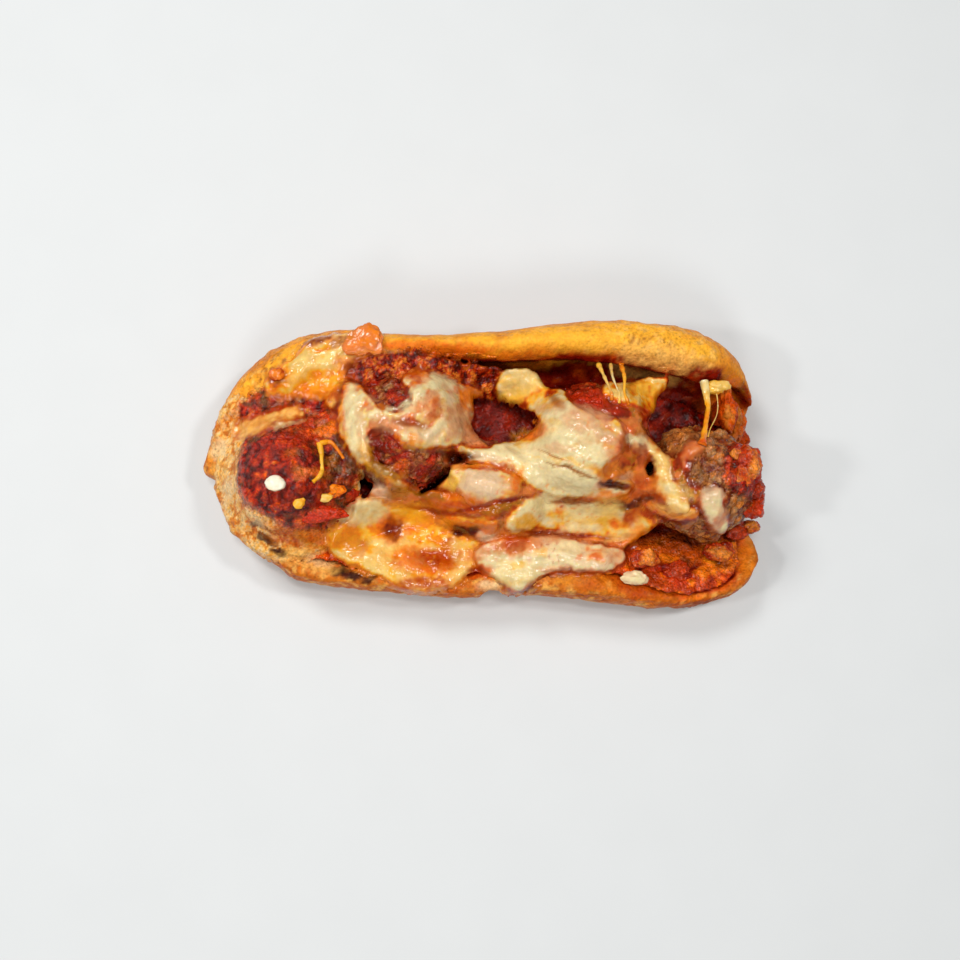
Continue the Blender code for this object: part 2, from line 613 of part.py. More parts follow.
def main():
    for old in list(bpy.data.objects):
        bpy.data.objects.remove(old)
    parts = bpy.data.collections.new("pizza sandwich")
    helpers = bpy.data.collections.new("helpers")
    for group in (parts, helpers):
        bpy.context.scene.collection.children.link(group)
    roll = make_roll(parts, helpers)

    floor = Ground()
    floor.add(roll, ABOVE_FLOOR)
    floor.z += SAUCE_FILM + CLEARANCE
    balls = []
    for name, x, y, radius, seed in MEATBALLS:
        size = (radius, radius, radius * MEATBALL_SQUASH)
        ball = make_lump(
            name, (x, y, 30), size, seed, MEATBALL_LUMPS, MEATBALL_CRAGS, MEATBALL_SIDES, MEATBALL_RINGS, parts
        )
        set_down(ball, floor, CLEARANCE)
        make_room(ball, [roll, *balls], helpers)
        balls.append(ball)

    ground = Ground()
    ground.add(roll)
    sauce = make_sauce(ground, balls, parts)
    make_room(sauce, [roll, *balls], helpers)
    laid = [roll, *balls, sauce]
    for piece in laid[1:]:
        ground.add(piece)
    ground.z = np.maximum(ground.z, OUTSIDE_HEIGHT)

    sauces = [sauce]
    for name, thick, seed, outline in SAUCE_COVERS:
        sheet = lay_sheet(name, thick, seed, outline, ground, laid, parts, helpers)
        sauces.append(sheet)
        laid.append(sheet)

    bits = []
    for name, place, size, seed in BITS:
        start = place if len(place) == 3 else (*place, 60)
        bit = make_lump(name, start, size, seed, BIT_LUMPS, BIT_CRAGS, BIT_SIDES, BIT_RINGS, parts)
        if len(place) == 2:
            set_down(bit, ground, -BIT_SINKS)
        make_room(bit, laid, helpers)
        ground.add(bit)
        bits.append(bit)
        laid.append(bit)

    cheeses = []
    for name, thick, seed, outline in CHEESE:
        sheet = lay_sheet(name, thick, seed, outline, ground, laid, parts, helpers)
        cheeses.append(sheet)
        laid.append(sheet)
    strand = make_strand("cheese_strand", STRAND_PATH, STRAND_RADIUS, laid, parts, helpers)
    cheeses.append(strand)
    laid.append(strand)

    for made in laid:
        for vertex in made.data.vertices:
            vertex.co -= Vector((*CENTRE, 0)) * MM

    paint([roll], add_material("crust", (0.62, 0.27, 0.06), 0.6))
    paint(balls, add_material("meat", (0.2, 0.07, 0.03), 0.45))
    paint(sauces, add_material("sauce", (0.34, 0.03, 0.01), 0.3))
    paint(bits, add_material("tomato", (0.45, 0.05, 0.01), 0.3))
    paint([bit for bit in bits if bit.name.startswith("garlic")], add_material("garlic", (0.75, 0.68, 0.5), 0.35))
    paint(cheeses, add_material("cheese", (0.85, 0.68, 0.36), 0.3))


main()
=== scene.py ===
"""Looks of an open pizza sandwich: a bread roll of meatballs in tomato sauce under melted cheese.

Lengths are in millimetres and are turned into Blender's metres by MM. X runs along the roll to its open
end, Y towards its tall back wall, and Z up from its flat underside.
"""

import math

import bmesh
import bpy
import numpy as np
from mathutils import Matrix, Vector
from mathutils.bvhtree import BVHTree


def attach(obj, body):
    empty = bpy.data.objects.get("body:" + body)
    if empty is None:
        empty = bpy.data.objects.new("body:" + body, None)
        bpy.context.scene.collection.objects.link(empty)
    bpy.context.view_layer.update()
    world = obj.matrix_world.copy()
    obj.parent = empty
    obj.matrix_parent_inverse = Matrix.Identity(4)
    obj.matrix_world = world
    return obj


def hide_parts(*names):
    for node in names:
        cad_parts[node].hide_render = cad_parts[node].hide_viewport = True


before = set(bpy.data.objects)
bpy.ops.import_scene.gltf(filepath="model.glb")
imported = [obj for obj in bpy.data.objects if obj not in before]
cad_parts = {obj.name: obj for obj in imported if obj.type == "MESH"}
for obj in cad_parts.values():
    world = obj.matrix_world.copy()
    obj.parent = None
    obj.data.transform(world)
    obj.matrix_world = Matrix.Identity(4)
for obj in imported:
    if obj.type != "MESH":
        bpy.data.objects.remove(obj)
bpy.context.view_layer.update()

MM = 0.001

# Colours as they look in daylight, red, green and blue up to 255
COLOURS = {
    "ivory": (232, 212, 158), "cream": (238, 198, 112), "butter": (246, 186, 58), "yellow": (246, 166, 26),
    "amber": (238, 126, 16), "orange": (226, 86, 8), "rust": (176, 52, 6), "toast": (118, 34, 5),
    "char": (44, 15, 6), "pinkish": (214, 152, 106), "blushwhite": (228, 192, 150), "blush": (222, 122, 58),
    "olive": (160, 102, 16), "tan": (212, 120, 36), "straw": (250, 188, 92), "crumb": (244, 208, 152),
    "sauce": (132, 18, 3), "deep": (66, 6, 1), "scarlet": (188, 42, 8), "meat": (136, 60, 14),
    "meat_light": (188, 112, 52), "gold": (248, 156, 36), "crown": (255, 180, 50), "garlic": (244, 232, 206),
    "grey_meat": (166, 122, 74), "caramel": (196, 94, 14), "pale_base": (216, 164, 104),
}

# Places that differ from their surroundings, some of them painted shade or painted light as noted: what, x, y, half
# length, half width, angle, colour, strength
CHEESE_MARKS = (
    ("orange knob", -43, 44, 5, 4.5, 0, "orange", 0.75),
    ("pink on the knob", -44, 42, 2.5, 2, 0, "pinkish", 0.6),
    ("crisp edge", -62, 44, 5, 2, 20, "toast", 0.95),
    ("cream middle of the rim", -53, 36, 6, 4.5, -20, "cream", 0.9),
    ("yellow rim", -68, 31, 7.5, 3.5, 10, "yellow", 0.55),
    ("cream fleck", -68, 34, 3, 1.5, 0, "cream", 0.7),
    ("orange lower rim", -63, 26, 9, 3, 0, "amber", 0.75),
    ("browned lower rim", -57, 23, 3, 2, 0, "rust", 0.6),
    ("blister", -77, 31, 3, 3, 0, "toast", 0.9),
    ("strip tan", -87, 12, 9, 3.5, 15, "straw", 0.7),
    ("strip white end", -72, 12, 5.5, 2, 15, "ivory", 0.85),
    ("strip brown edge", -86, 20, 11.5, 1.5, 15, "toast", 0.7),
    ("strip brown tip", -95, 10, 3, 2, 0, "rust", 0.6),
    ("white band", -48, 20, 3.5, 6, 0, "ivory", 0.9),
    ("white band low", -46, 7, 3.5, 6.5, 10, "ivory", 0.85),
    ("yellow edge of the band", -43, 1, 2.5, 5, 25, "yellow", 0.6),
    ("olive tail", -35, -6, 8, 2, -35, "olive", 0.75),
    ("browned top", -45, 34, 6.5, 3.5, 5, "toast", 0.8),
    ("pinkish under it", -38, 21, 5, 2, 10, "pinkish", 0.7),
    ("brown by the streak", -26, 30, 4.5, 2.5, 0, "rust", 0.55),
    ("ivory streak", -16, 27, 4.5, 3, 20, "ivory", 0.95),
    ("ivory streak low", -24, 18, 6.5, 2.5, 25, "ivory", 0.85),
    ("pinkish skin", -32, 10, 8.5, 3, -5, "pinkish", 0.8),
    ("orange lump", -19, 17, 3, 5.5, 0, "blush", 0.85),
    ("pale right of it", -9, 13, 6, 6.5, 0, "pinkish", 0.75),
    ("orange by the hole", -6, 24, 3.5, 3.5, 0, "amber", 0.6),
    ("yellow lower lip", -23, 4, 7, 2, 10, "butter", 0.5),
    ("cream top", 15, 31, 7.5, 5, 0, "cream", 0.85),
    ("yellow under it", 11, 27, 6, 2.5, 10, "butter", 0.6),
    ("ivory blob", 30, 8, 10, 9, 0, "ivory", 0.8),
    ("pinkish on the blob", 38, 15, 8, 3.5, -20, "pinkish", 0.8),
    ("pinkish left of it", 24, 18, 5, 3, 0, "pinkish", 0.6),
    ("brown pink right", 46, 2, 5.5, 5, 0, "blush", 0.75),
    ("browned right", 50, 5, 2.5, 5, 0, "toast", 0.6),
    ("diagonal band", 22, -4, 17.5, 4.5, -20, "ivory", 0.95),
    ("yellow crease", 34, -3, 12, 1, -15, "butter", 0.7),
    ("olive shade", 28, -9, 7.5, 1, 10, "olive", 0.5),
    ("brown fold", 46, -6, 5.5, 2.5, 0, "rust", 0.65),
    ("brown hole edge", 44, -10, 3.5, 1.5, 0, "toast", 0.8),
    ("amber lower edge", 43, -14, 9, 2, 5, "amber", 0.7),
    ("pinkish bridge", -5, 8, 9.5, 2, 0, "pinkish", 0.6),
    ("lump yellow left", -10, -6, 3.5, 4, 0, "cream", 0.9),
    ("lump pink white", 0, -9, 6.5, 4.5, 0, "blushwhite", 0.9),
    ("lump orange edge", 11, -9, 2, 4.5, -30, "orange", 0.75),
    ("lump orange below", -5, -15, 7.5, 1.5, -15, "rust", 0.6),
    ("front pale", 21, -16, 6, 3, 20, "cream", 0.8),
    ("front yellow", 15, -23, 6, 2.5, 5, "butter", 0.85),
    ("front middle", 40, -19, 11.5, 4, -5, "cream", 0.8),
    ("front yellow right", 46, -21, 7.5, 3, 0, "butter", 0.6),
    ("spot on the front", 56, -19, 2.5, 4, 0, "toast", 0.8),
    ("second spot", 51, -23, 2.5, 1.5, 0, "orange", 0.8),
    ("right fold", 61, -30, 7, 2.5, -10, "amber", 0.75),
    ("cream fold", 53, -27, 7.5, 2, 15, "cream", 0.8),
    ("roll brown", 12, -31, 6, 3, 10, "rust", 0.85),
    ("roll white", 33, -33, 13, 3.5, -5, "blushwhite", 0.95),
    ("roll pink right", 46, -35, 5.5, 3, 0, "pinkish", 0.7),
    ("roll specks", 42, -34, 2.5, 1.5, 0, "orange", 0.7),
    ("roll upper pink", 25, -28, 9, 1.5, 0, "blush", 0.7),
    ("yellow on the roll", 20, -34, 2, 2, 0, "butter", 0.5),
    ("drip", 12, -42, 9, 4.5, 0, "cream", 0.85),
    ("red under the roll", -1, -41, 3.5, 2, -10, "rust", 0.9),
    ("front left white", -45, -19, 8.5, 4.5, 10, "ivory", 0.8),
    ("front left yellow", -26, -19, 8.5, 4, 0, "yellow", 0.85),
    ("cream below", -35, -31, 7.5, 2.5, 0, "cream", 0.7),
    ("ring of the spot", -35, -25, 5.5, 5.5, 0, "amber", 0.5),
    ("big brown spot", -35, -25, 4, 4, 0, "toast", 0.9),
    ("small spot", -28, -25, 2.5, 2, 0, "orange", 0.8),
    ("third spot", -13, -31, 3, 2.5, 0, "rust", 0.85),
    ("pink patch", -47, -33, 3.5, 4, 0, "blush", 0.75),
    ("orange pool", -22, -37, 13, 5, -5, "orange", 0.85),
    ("red front edge", -22, -46, 13, 2.5, 5, "rust", 0.85),
    ("cream streaks", -8, -36, 3.5, 7, 20, "cream", 0.8),
    ("cream streak low", -10, -42, 3, 2.5, 0, "cream", 0.6),
    ("yellow corner", -50, -31, 4.5, 3.5, 0, "yellow", 0.6),
    ("fold olive", -16, -17, 7.5, 4, -20, "toast", 0.6),
    ("fold brown", -5, -24, 8, 3.5, -10, "rust", 0.6),
    ("fold orange", -12, -21, 3, 2, 0, "orange", 0.8),
    ("fold pale", 3, -28, 4, 2.5, 0, "blush", 0.7),
    ("corner yellow", 59, 28, 6.5, 3.5, 0, "butter", 0.85),
    ("corner low", 64, 22, 2, 4.5, 0, "yellow", 0.6),
    ("right white", 56, 5, 5, 3, -20, "ivory", 0.85),
    ("right cream", 65, -4, 2.5, 6, 15, "cream", 0.85),
    ("right low", 70, -13, 5, 3, -40, "cream", 0.6),
    ("right ridge", 70, -19, 7, 1.5, -15, "straw", 0.8),
    ("patch white", 82, -14, 4.5, 3.5, 0, "blushwhite", 0.9),
    ("patch pink", 85, -23, 3, 5, -15, "pinkish", 0.8),
    ("scrap pink", 75, 1, 3.5, 3.5, 30, "blush", 0.8),
    ("tail olive", -39, -4, 10, 2.5, -30, "olive", 0.75),
    ("front left orange", -52, -29, 5, 4, 10, "amber", 0.55),
    ("front left blister", -30, -33, 3.5, 2, 0, "amber", 0.6),
    ("rim blister", -60, 31, 3, 2, 10, "amber", 0.5),
    ("rim brown", -52, 43, 5, 1.6, 5, "toast", 0.7),
    ("tail yellow edge", -40, -5, 9.5, 1, -33, "yellow", 0.75),
    ("orange knot", -27, -9, 3.5, 2.5, 0, "orange", 0.8),
    ("pale fold left", -40, -10, 5.5, 2.5, -40, "blushwhite", 0.8),
    ("olive by the gap", -32, -12, 5, 2, 0, "olive", 0.75),
    ("yellow by the spot", -25, -19, 3.5, 3.5, 0, "yellow", 0.8),
    ("orange bits", -11, -21, 3, 2, 0, "orange", 0.85),
    ("olive line", -8, -24, 10, 1, -3, "olive", 0.6),
    # Painted shade in the hole in the fold
    ("dark fold end", -7, -26, 4, 1.5, -15, "toast", 0.8),
    ("orange gap edge", -47, -9, 5, 2, -15, "amber", 0.7),
    # Painted shade under the cheese
    ("red under the tail", -17, -5, 3, 2.5, 0, "deep", 0.85),
    ("band left edge", -52, 11, 1, 10.5, 5, "yellow", 0.5),
    ("band middle", -48, 13, 2.5, 10, 3, "ivory", 0.9),
    ("brown cap", -46, 34, 7, 3.5, 5, "toast", 0.8),
    ("cap red", -38, 30, 3, 2.5, 0, "rust", 0.8),
    ("brown knob", -36, 21, 2.5, 1.5, 0, "rust", 0.75),
    ("brown knob two", -37, 17, 2, 1.5, 0, "amber", 0.8),
    ("streak start", -31, 18, 4.5, 2, 20, "ivory", 0.95),
    ("streak middle", -24, 23, 3, 2.5, 50, "ivory", 0.95),
    ("streak end", -16, 29, 6, 3, 0, "ivory", 0.95),
    ("streak down", -12, 22, 2, 4, 0, "blushwhite", 0.8),
    ("orange beside the streak", -31, 33, 2.5, 3, 0, "amber", 0.7),
    ("brown over the streak", -25, 29, 3, 2, -20, "rust", 0.7),
    ("red lump", -17, 16, 2.5, 3.5, 0, "rust", 0.65),
    ("orange lump left", -23, 17, 2.5, 2, 20, "blush", 0.8),
    ("pink lump", -11, 14, 4, 5, 0, "pinkish", 0.8),
    ("orange knob two", -25, 5, 3, 2, 0, "amber", 0.8),
    ("pink skin left", -38, 12, 3.5, 2.5, 0, "pinkish", 0.8),
    ("pink skin right", -20, 7, 5.5, 3, -20, "blushwhite", 0.8),
    ("orange by the hole edge", -4, 23, 2, 3, 0, "amber", 0.75),
    # Painted shade in the crease
    ("dark crease", -13, 0, 8, 1.5, 4, "char", 0.85),
    ("pale wedge", 1, -0, 6.5, 1.5, -14, "blushwhite", 0.85),
    ("amber fold", -8, -3, 12.5, 1, 0, "amber", 0.8),
    ("orange below the lump", -8, -14, 7.5, 1.5, -22, "orange", 0.8),
    ("brown fold low", -8, -19, 11.5, 3.5, -5, "rust", 0.65),
    ("dark fold right", 6, -20, 3.5, 1.5, 25, "toast", 0.8),
    # Painted shade in the hole in the fold
    ("hole in the fold", -7, -26, 4, 1.5, 0, "char", 0.75),
    ("pale glob", 1, -28, 3.5, 1.5, 0, "blushwhite", 0.85),
    # Painted shade in the hole in the front sheet
    ("green grey hole", 34, -15, 5, 1.5, 0, "olive", 0.85),
    ("yellow on the front", 16, -23, 4, 2.5, 0, "yellow", 0.75),
    ("yellow on the front two", 45, -23, 2.5, 2.5, 0, "butter", 0.85),
    ("orange spot front", 51, -24, 1.5, 1.5, 0, "orange", 0.95),
    ("toast spot front", 56, -20, 1.5, 2.5, 0, "rust", 0.9),
    ("amber fold right", 62, -28, 6.5, 2.5, -25, "amber", 0.8),
    ("roll rust left", 12, -30, 5.5, 3, 5, "rust", 0.85),
    ("roll pink top", 27, -28, 8, 2, 5, "pinkish", 0.8),
    ("roll white one", 31, -33, 6, 3.5, 0, "ivory", 0.85),
    ("roll white two", 42, -37, 6.5, 3.5, -10, "blushwhite", 0.9),
    ("roll orange speck", 42, -36, 2, 1.5, 0, "orange", 0.9),
    ("roll yellow speck", 22, -34, 1.5, 2.5, 20, "yellow", 0.6),
    # Painted shade under the pink roll
    ("roll under edge", 33, -41, 9.5, 1, -6, "toast", 0.8),
    ("pink left of the drip", -3, -34, 7, 2.5, 15, "blush", 0.75),
    ("drip cream", 12, -41, 9.5, 3, 0, "ivory", 0.85),
    ("drip yellow", 13, -39, 4, 1.5, 20, "butter", 0.7),
    ("dark beside the drip", -2, -41, 4, 1.5, -15, "toast", 0.85),
    ("brown swirl", 46, -5, 5, 3, 5, "tan", 0.75),
    # Painted shade in the crease
    ("dark line right", 48, -10, 5, 1, -4, "char", 0.85),
    ("pink swirl", 52, -7, 3.5, 1.5, 20, "pinkish", 0.85),
    ("orange edge below", 45, -14, 10.5, 1.5, 4, "amber", 0.8),
    ("crease one", 31, -5, 10, 0.5, -20, "olive", 0.8),
    ("crease two", 15, 2, 7, 0.5, -25, "butter", 0.7),
    ("pink blob top", 33, 12, 6, 4.5, 0, "pinkish", 0.75),
    ("ivory blob left", 25, 7, 4.5, 4, 0, "ivory", 0.85),
    ("ivory blob right", 37, -0, 6.5, 3.5, -10, "ivory", 0.75),
    ("yellow shoulder", 12, 25, 3.5, 2.5, 0, "butter", 0.75),
    ("orange at the right", 53, 11, 4, 3, 0, "blush", 0.85),
    ("red at the right", 59, 16, 3.5, 3.5, 0, "scarlet", 0.8),
    ("brown film right", 57, 9, 2.5, 3, 0, "tan", 0.6),
    ("brown film low right", 55, -11, 3, 2.5, 0, "rust", 0.6),
    ("hole tip", 18.5, 10.3, 4.5, 2.6, -15, "orange", 0.75),
    ("hole red", 12, 12, 6, 3, -20, "scarlet", 0.6),
    ("brown right side", 51, 4, 2.5, 4.5, 0, "toast", 0.6),
    ("dark by the swirl", 57.3, 1, 2, 4, 10, "toast", 0.85),
    ("white above the swirl", 54.5, 6, 4, 2, -10, "ivory", 0.8),
    ("dark red by the swirl", 58, -8.5, 3, 2.5, -30, "rust", 0.85),
    ("brown between the balls", 60, -13.5, 4.5, 2.5, -10, "toast", 0.6),
    # Painted shade at the corner
    ("dark line at the corner", 56, -15.5, 5, 1.2, 12, "char", 0.8),
    ("front ivory left", 23, -15.5, 9, 3.4, 15, "ivory", 0.85),
    ("front ivory middle", 37, -18, 8, 2.8, -5, "ivory", 0.75),
    ("front cream right", 47, -17.5, 5.5, 3, 0, "cream", 0.85),
    ("front ivory low", 37, -24.5, 8, 1.8, -4, "ivory", 0.8),
    ("blob shade right", 42, 8, 4, 5, -20, "pinkish", 0.7),
    ("blob tan", 37, 5, 3.5, 2.5, 0, "pale_base", 0.5),
    ("blob shade low", 27, 2.5, 6, 1.6, -20, "pinkish", 0.6),
    ("streak shade", -20, 21, 4, 1.6, 40, "pinkish", 0.7),
    ("band shade", -45, 14, 1.6, 7, 5, "pinkish", 0.5),
    ("roll shade left", 20, -31, 4, 2, 0, "blush", 0.6),
    ("roll shade right", 50, -36, 4, 2.5, 0, "blush", 0.55),
    ("roll dots", 36, -35, 1.6, 1, 0, "blush", 0.8),
    ("roll dots two", 39, -32.5, 1.2, 1, 0, "orange", 0.7),
    ("olive fold", 4, -18.5, 7, 1.6, 10, "olive", 0.8),
    ("olive fold two", -20, -13, 7, 1.6, -15, "olive", 0.75),
    ("pale fold line", -4, -21.5, 8, 1, -6, "butter", 0.6),
    ("lump yellow edge", -12, -8, 2.5, 3.5, -20, "butter", 0.85),
    ("lump white", -1, -11, 8, 4, -5, "blushwhite", 0.85),
    ("lump orange right", 12, -9, 1.5, 3.5, -25, "orange", 0.8),
    ("band ivory left", 13, 2, 5.5, 3, -30, "ivory", 0.95),
    ("band ivory right", 31, -10, 9.5, 3, -12, "ivory", 0.95),
)
CRUST_MARKS = (
    ("char by the hollow", -81, -25, 4, 1, -15, "char", 0.95),
    ("char below it", -82, -29, 2.5, 1, -20, "char", 0.9),
    ("char on the rim", -77, -34, 2.5, 1, -25, "char", 0.9),
    ("long char strip", -52, -42, 5, 1, -12, "char", 0.98),
    ("char dot", -55, -34, 2.5, 1, 0, "char", 0.85),
    ("char dot two", -52, -38, 1, 1, 0, "char", 0.8),
    ("char dot three", -42, -43, 1.5, 1, 0, "char", 0.8),
    ("char dot four", -44, -40, 1, 1, 0, "char", 0.8),
    ("char dot five", -44.1, -45, 1.6, 0.9, 0, "char", 0.9),
    ("char dot six", -57.1, -35.4, 1.4, 1, 0, "char", 0.9),
    ("char dot seven", -53, -37.8, 1.3, 0.9, 0, "char", 0.9),
    ("char by the hollow two", -79.4, -29.6, 2, 1, -40, "char", 0.95),
    ("char on the rim two", -76.5, -34.1, 2.2, 1.1, -30, "char", 0.95),
    ("char strip two", -54, -40.6, 3.5, 1.1, -15, "char", 0.95),
    ("char strip three", -49, -42.8, 3, 1.1, -15, "char", 0.95),
    ("brown at the flap", 55.7, -48.4, 7, 3, -10, "rust", 0.7),
    ("brown at the flap two", 68, -51, 6, 3, -5, "toast", 0.6),
    ("golden front", 30, -44, 7, 2, -5, "crown", 0.5),
    ("brown front", 40, -46, 6, 2.2, -8, "rust", 0.5),
    ("brown front two", 22, -42.5, 5, 1.8, -5, "rust", 0.5),
    ("stain by the hollow", -71, -28, 7.5, 4.5, -20, "rust", 0.85),
    ("orange stain", -61, -27, 5.5, 4, 0, "orange", 0.7),
    ("pale front left", -65, -37, 11.5, 3.5, -12, "straw", 0.8),
    ("cream front left", -63, -37, 5.5, 2, -10, "crumb", 0.6),
    ("torn crumb", -101, 5, 4, 3.5, 0, "crumb", 0.85),
    ("torn crumb low", -95, -11, 4, 4, -50, "crumb", 0.7),
    ("crumb by the sauce", -83, -23, 4.5, 2, -45, "crumb", 0.5),
    ("nub", -100, -3, 5.5, 4, 0, "straw", 0.5),
    ("brown inner rim", -89, -5, 3, 8.5, 10, "tan", 0.5),
    ("red on the left rim", -92, 19, 7.5, 2, 35, "rust", 0.5),
    ("pale left rim", -83, 26, 6, 2, 25, "straw", 0.7),
    ("notch crumb", 2, -47, 4.5, 2.5, 0, "crumb", 0.95),
    ("orange lip", -18, 41, 26, 2.5, -2, "orange", 0.8),
    ("orange lip two", 14, 39, 15, 2, 10, "orange", 0.6),
    ("yellow crown", 28, 43, 25, 3, 3, "crown", 0.5),
    ("pitted crown", 65, 38, 16.5, 4.5, -10, "straw", 0.7),
    ("brown end", 94, 31, 4.5, 9.5, 20, "tan", 0.7),
    ("red right wall", 95, 27, 4.5, 7, 0, "orange", 0.7),
    ("red under the sheet", -16, -48, 15, 1.5, 0, "rust", 0.6),
    ("front bread", 29, -44, 19, 3.5, -8, "caramel", 0.5),
    ("stain at the flap", 59, -46, 10, 5.5, -10, "rust", 0.8),
    ("orange flap edge", 103, -37, 3.5, 7, 0, "amber", 0.8),
    ("burnt edge", 82, -55, 8, 3, 10, "toast", 0.8),
    ("yellow by the burn", 82, -51, 5.5, 1.5, 15, "amber", 0.6),
    ("left back edge", -84, 38, 11, 2, 35, "tan", 0.7),
)
SAUCE_MARKS = (
    # Painted shade behind the cheese strip
    ("dark behind the strip", -81, 23, 8.5, 3.5, 15, "sauce", 0.8),
    ("flap orange", 80, -32, 13, 4.5, 0, "rust", 0.6),
    ("flap scarlet", 70, -42, 8.5, 4.5, 0, "scarlet", 0.7),
    ("flap dark", 79, -40, 5.5, 2.5, 20, "deep", 0.5),
    # Painted shadow under the meatball
    ("dark line under the ball", 78, -27, 15, 2.5, -12, "deep", 0.9),
    ("flap orange right", 95, -35, 6, 4, 0, "orange", 0.5),
    ("cavity", 9, 19, 11.5, 6, -20, "scarlet", 0.4),
    # Painted light on the bright tip of the cavity
    ("bright tip of the cavity", 18, 10.5, 5, 3, -20, "orange", 0.9),
    ("flap dark one", 77.6, -37.4, 2.4, 1.8, 0, "deep", 0.85),
    ("flap dark two", 92.2, -37, 2.6, 2, 0, "deep", 0.85),
    ("flap yellow", 86, -41, 5, 2, 15, "amber", 0.7),
    ("flap yellow two", 70, -36, 4, 1.6, -20, "amber", 0.6),
    ("flap brown", 63, -45, 6, 3, 0, "toast", 0.6),
    # Painted shade in the gap between the balls
    ("gap between the balls", -50, -1, 7, 5.5, -30, "deep", 0.8),
    ("back wall", 45, 36, 23, 3.5, 0, "sauce", 0.7),
    ("front of the left ball", -58, -19, 11.5, 2.5, 15, "scarlet", 0.7),
)
MEAT_MARKS = (
    ("red sauce on the ball", 40, 19, 11.5, 4.5, -15, "scarlet", 0.9),
    ("sauce at its end", 57, 16, 5, 3.5, -30, "scarlet", 0.7),
    # Painted shade in the cavity
    ("dark cavity side", 21, 21, 7.5, 6, 0, "deep", 0.3),
    # Painted light on the lit side of the hole
    ("bright side of the hole", 14.5, 11.5, 8, 4.5, -20, "orange", 0.8),
    ("orange tip of the hole", 20, 9.8, 2.5, 1.6, 0, "orange", 0.8),
    ("red in the hole", 8, 13, 6, 3, -15, "scarlet", 0.5),
    # Painted shade in the gap between the balls
    ("dark gap", -47, -1, 7, 3.2, -45, "deep", 0.9),
    ("dark gap low", -36, -9, 7, 2, -25, "deep", 0.9),
    ("bare meat", -36, 6, 5.5, 5, -40, "sauce", 0.7),
    ("bare meat low", -27, -2, 6.5, 4.5, -40, "sauce", 0.6),
    ("orange gleam", -31, -4, 2.5, 2, 0, "rust", 0.8),
    ("brown top", -10, 1, 6.5, 2, 5, "meat", 0.8),
    # Painted shade under the cheese
    ("dark side", -18, -6, 3, 3.5, 0, "deep", 0.7),
    ("tan side", 61, -11, 7.5, 5.5, -20, "meat_light", 0.5),
    ("light meat", 75, 7, 8.5, 7, 0, "meat_light", 0.45),
    # Painted shade in the crevice
    ("dark crevice", 78, -7, 4.5, 7, -30, "deep", 0.5),
    ("dark back", 72, 25, 5.5, 5.5, 0, "deep", 0.7),
    ("brown back", 80, 27, 7.5, 4.5, 0, "toast", 0.5),
    ("orange lean", 70, -16, 10.5, 3.5, -20, "tan", 0.5),
    ("brown olive", -56, -2, 3.5, 2.5, 0, "olive", 0.6),
    ("brown olive two", -69, 1, 3, 1.5, 0, "olive", 0.4),
    ("pinkish fat", -66, -8, 2, 2, 0, "blush", 0.5),
    ("pale sheen left", -94, 5, 2.5, 5.5, 10, "pinkish", 0.35),
    ("bright red", -72, 4, 10.5, 4.5, 10, "scarlet", 0.3),
    ("bright chunk", -60, 12, 7.5, 5.5, 20, "scarlet", 0.6),
    ("orange on the chunk", -57, 11, 4, 2, 10, "orange", 0.55),
    # Painted shade on the lower side of the ball and in the gap at its right
    ("dark lower side", -70, -15, 10, 3, 0, "deep", 0.45),
    ("dark right side", -52, -4, 4, 8, 0, "deep", 0.6),
    ("orange dust", -62, -6, 7, 2, -10, "tan", 0.45),
    # Painted shade behind the cheese strip
    ("dark behind the strip", -78, 22, 9, 3, 20, "deep", 0.4),
)

# The meatballs: name, how much sauce coats it from 0 to 1, height of its broad bumps, noise seed
MEATBALLS = (
    ("meatball_left", 1.0, 1.6, 3),
    ("meatball_back_left", 0.6, 1.6, 5),
    ("meatball_middle", 0.45, 1.6, 8),
    ("meatball_back_right", 0.65, 1.6, 11),
    ("meatball_right", 0.15, 2.9, 14),
)
# Sheets over them, lowest first: name, colours from thin to thick, direction of its stretch lines, noise seed
IVORY_SHEET = ("rust", "amber", "butter", "cream", "ivory", "ivory")
YELLOW_SHEET = ("rust", "orange", "amber", "yellow", "cream", "cream")
BREAD_SHEET = ("tan", "gold", "amber", "yellow", "butter", "cream", "cream")
BROWN_SHEET = ("toast", "rust", "amber", "blush")
PINK_SHEET = ("toast", "rust", "blush", "pinkish", "blushwhite", "ivory")
SAUCE_COVERS = (("sauce_over_left", 30, 21), ("sauce_over_right", 80, 23))
CHEESES = (
    ("cheese_back_rim", BREAD_SHEET, 20, 31),
    ("cheese_left_strip", ("rust", "tan", "straw", "pinkish"), 15, 32),
    ("cheese_front_left", BREAD_SHEET, -10, 33),
    ("cheese_fold", BROWN_SHEET, -25, 34),
    ("cheese_front", IVORY_SHEET, -5, 35),
    ("cheese_drip", PINK_SHEET, -5, 36),
    ("cheese_back_left", ("toast", "rust", "amber", "blush", "pinkish", "cream", "ivory"), 60, 37),
    ("cheese_middle", ("rust", "orange", "blush", "cream", "blushwhite"), -5, 38),
    ("cheese_back_right", YELLOW_SHEET, 80, 39),
    ("cheese_centre", IVORY_SHEET, -20, 40),
    ("cheese_right", ("toast", "tan", "cream", "ivory"), -60, 41),
    ("cheese_right_patch", PINK_SHEET, 80, 42),
    ("cheese_right_scrap", ("toast", "rust", "blush", "pinkish"), 40, 43),
)

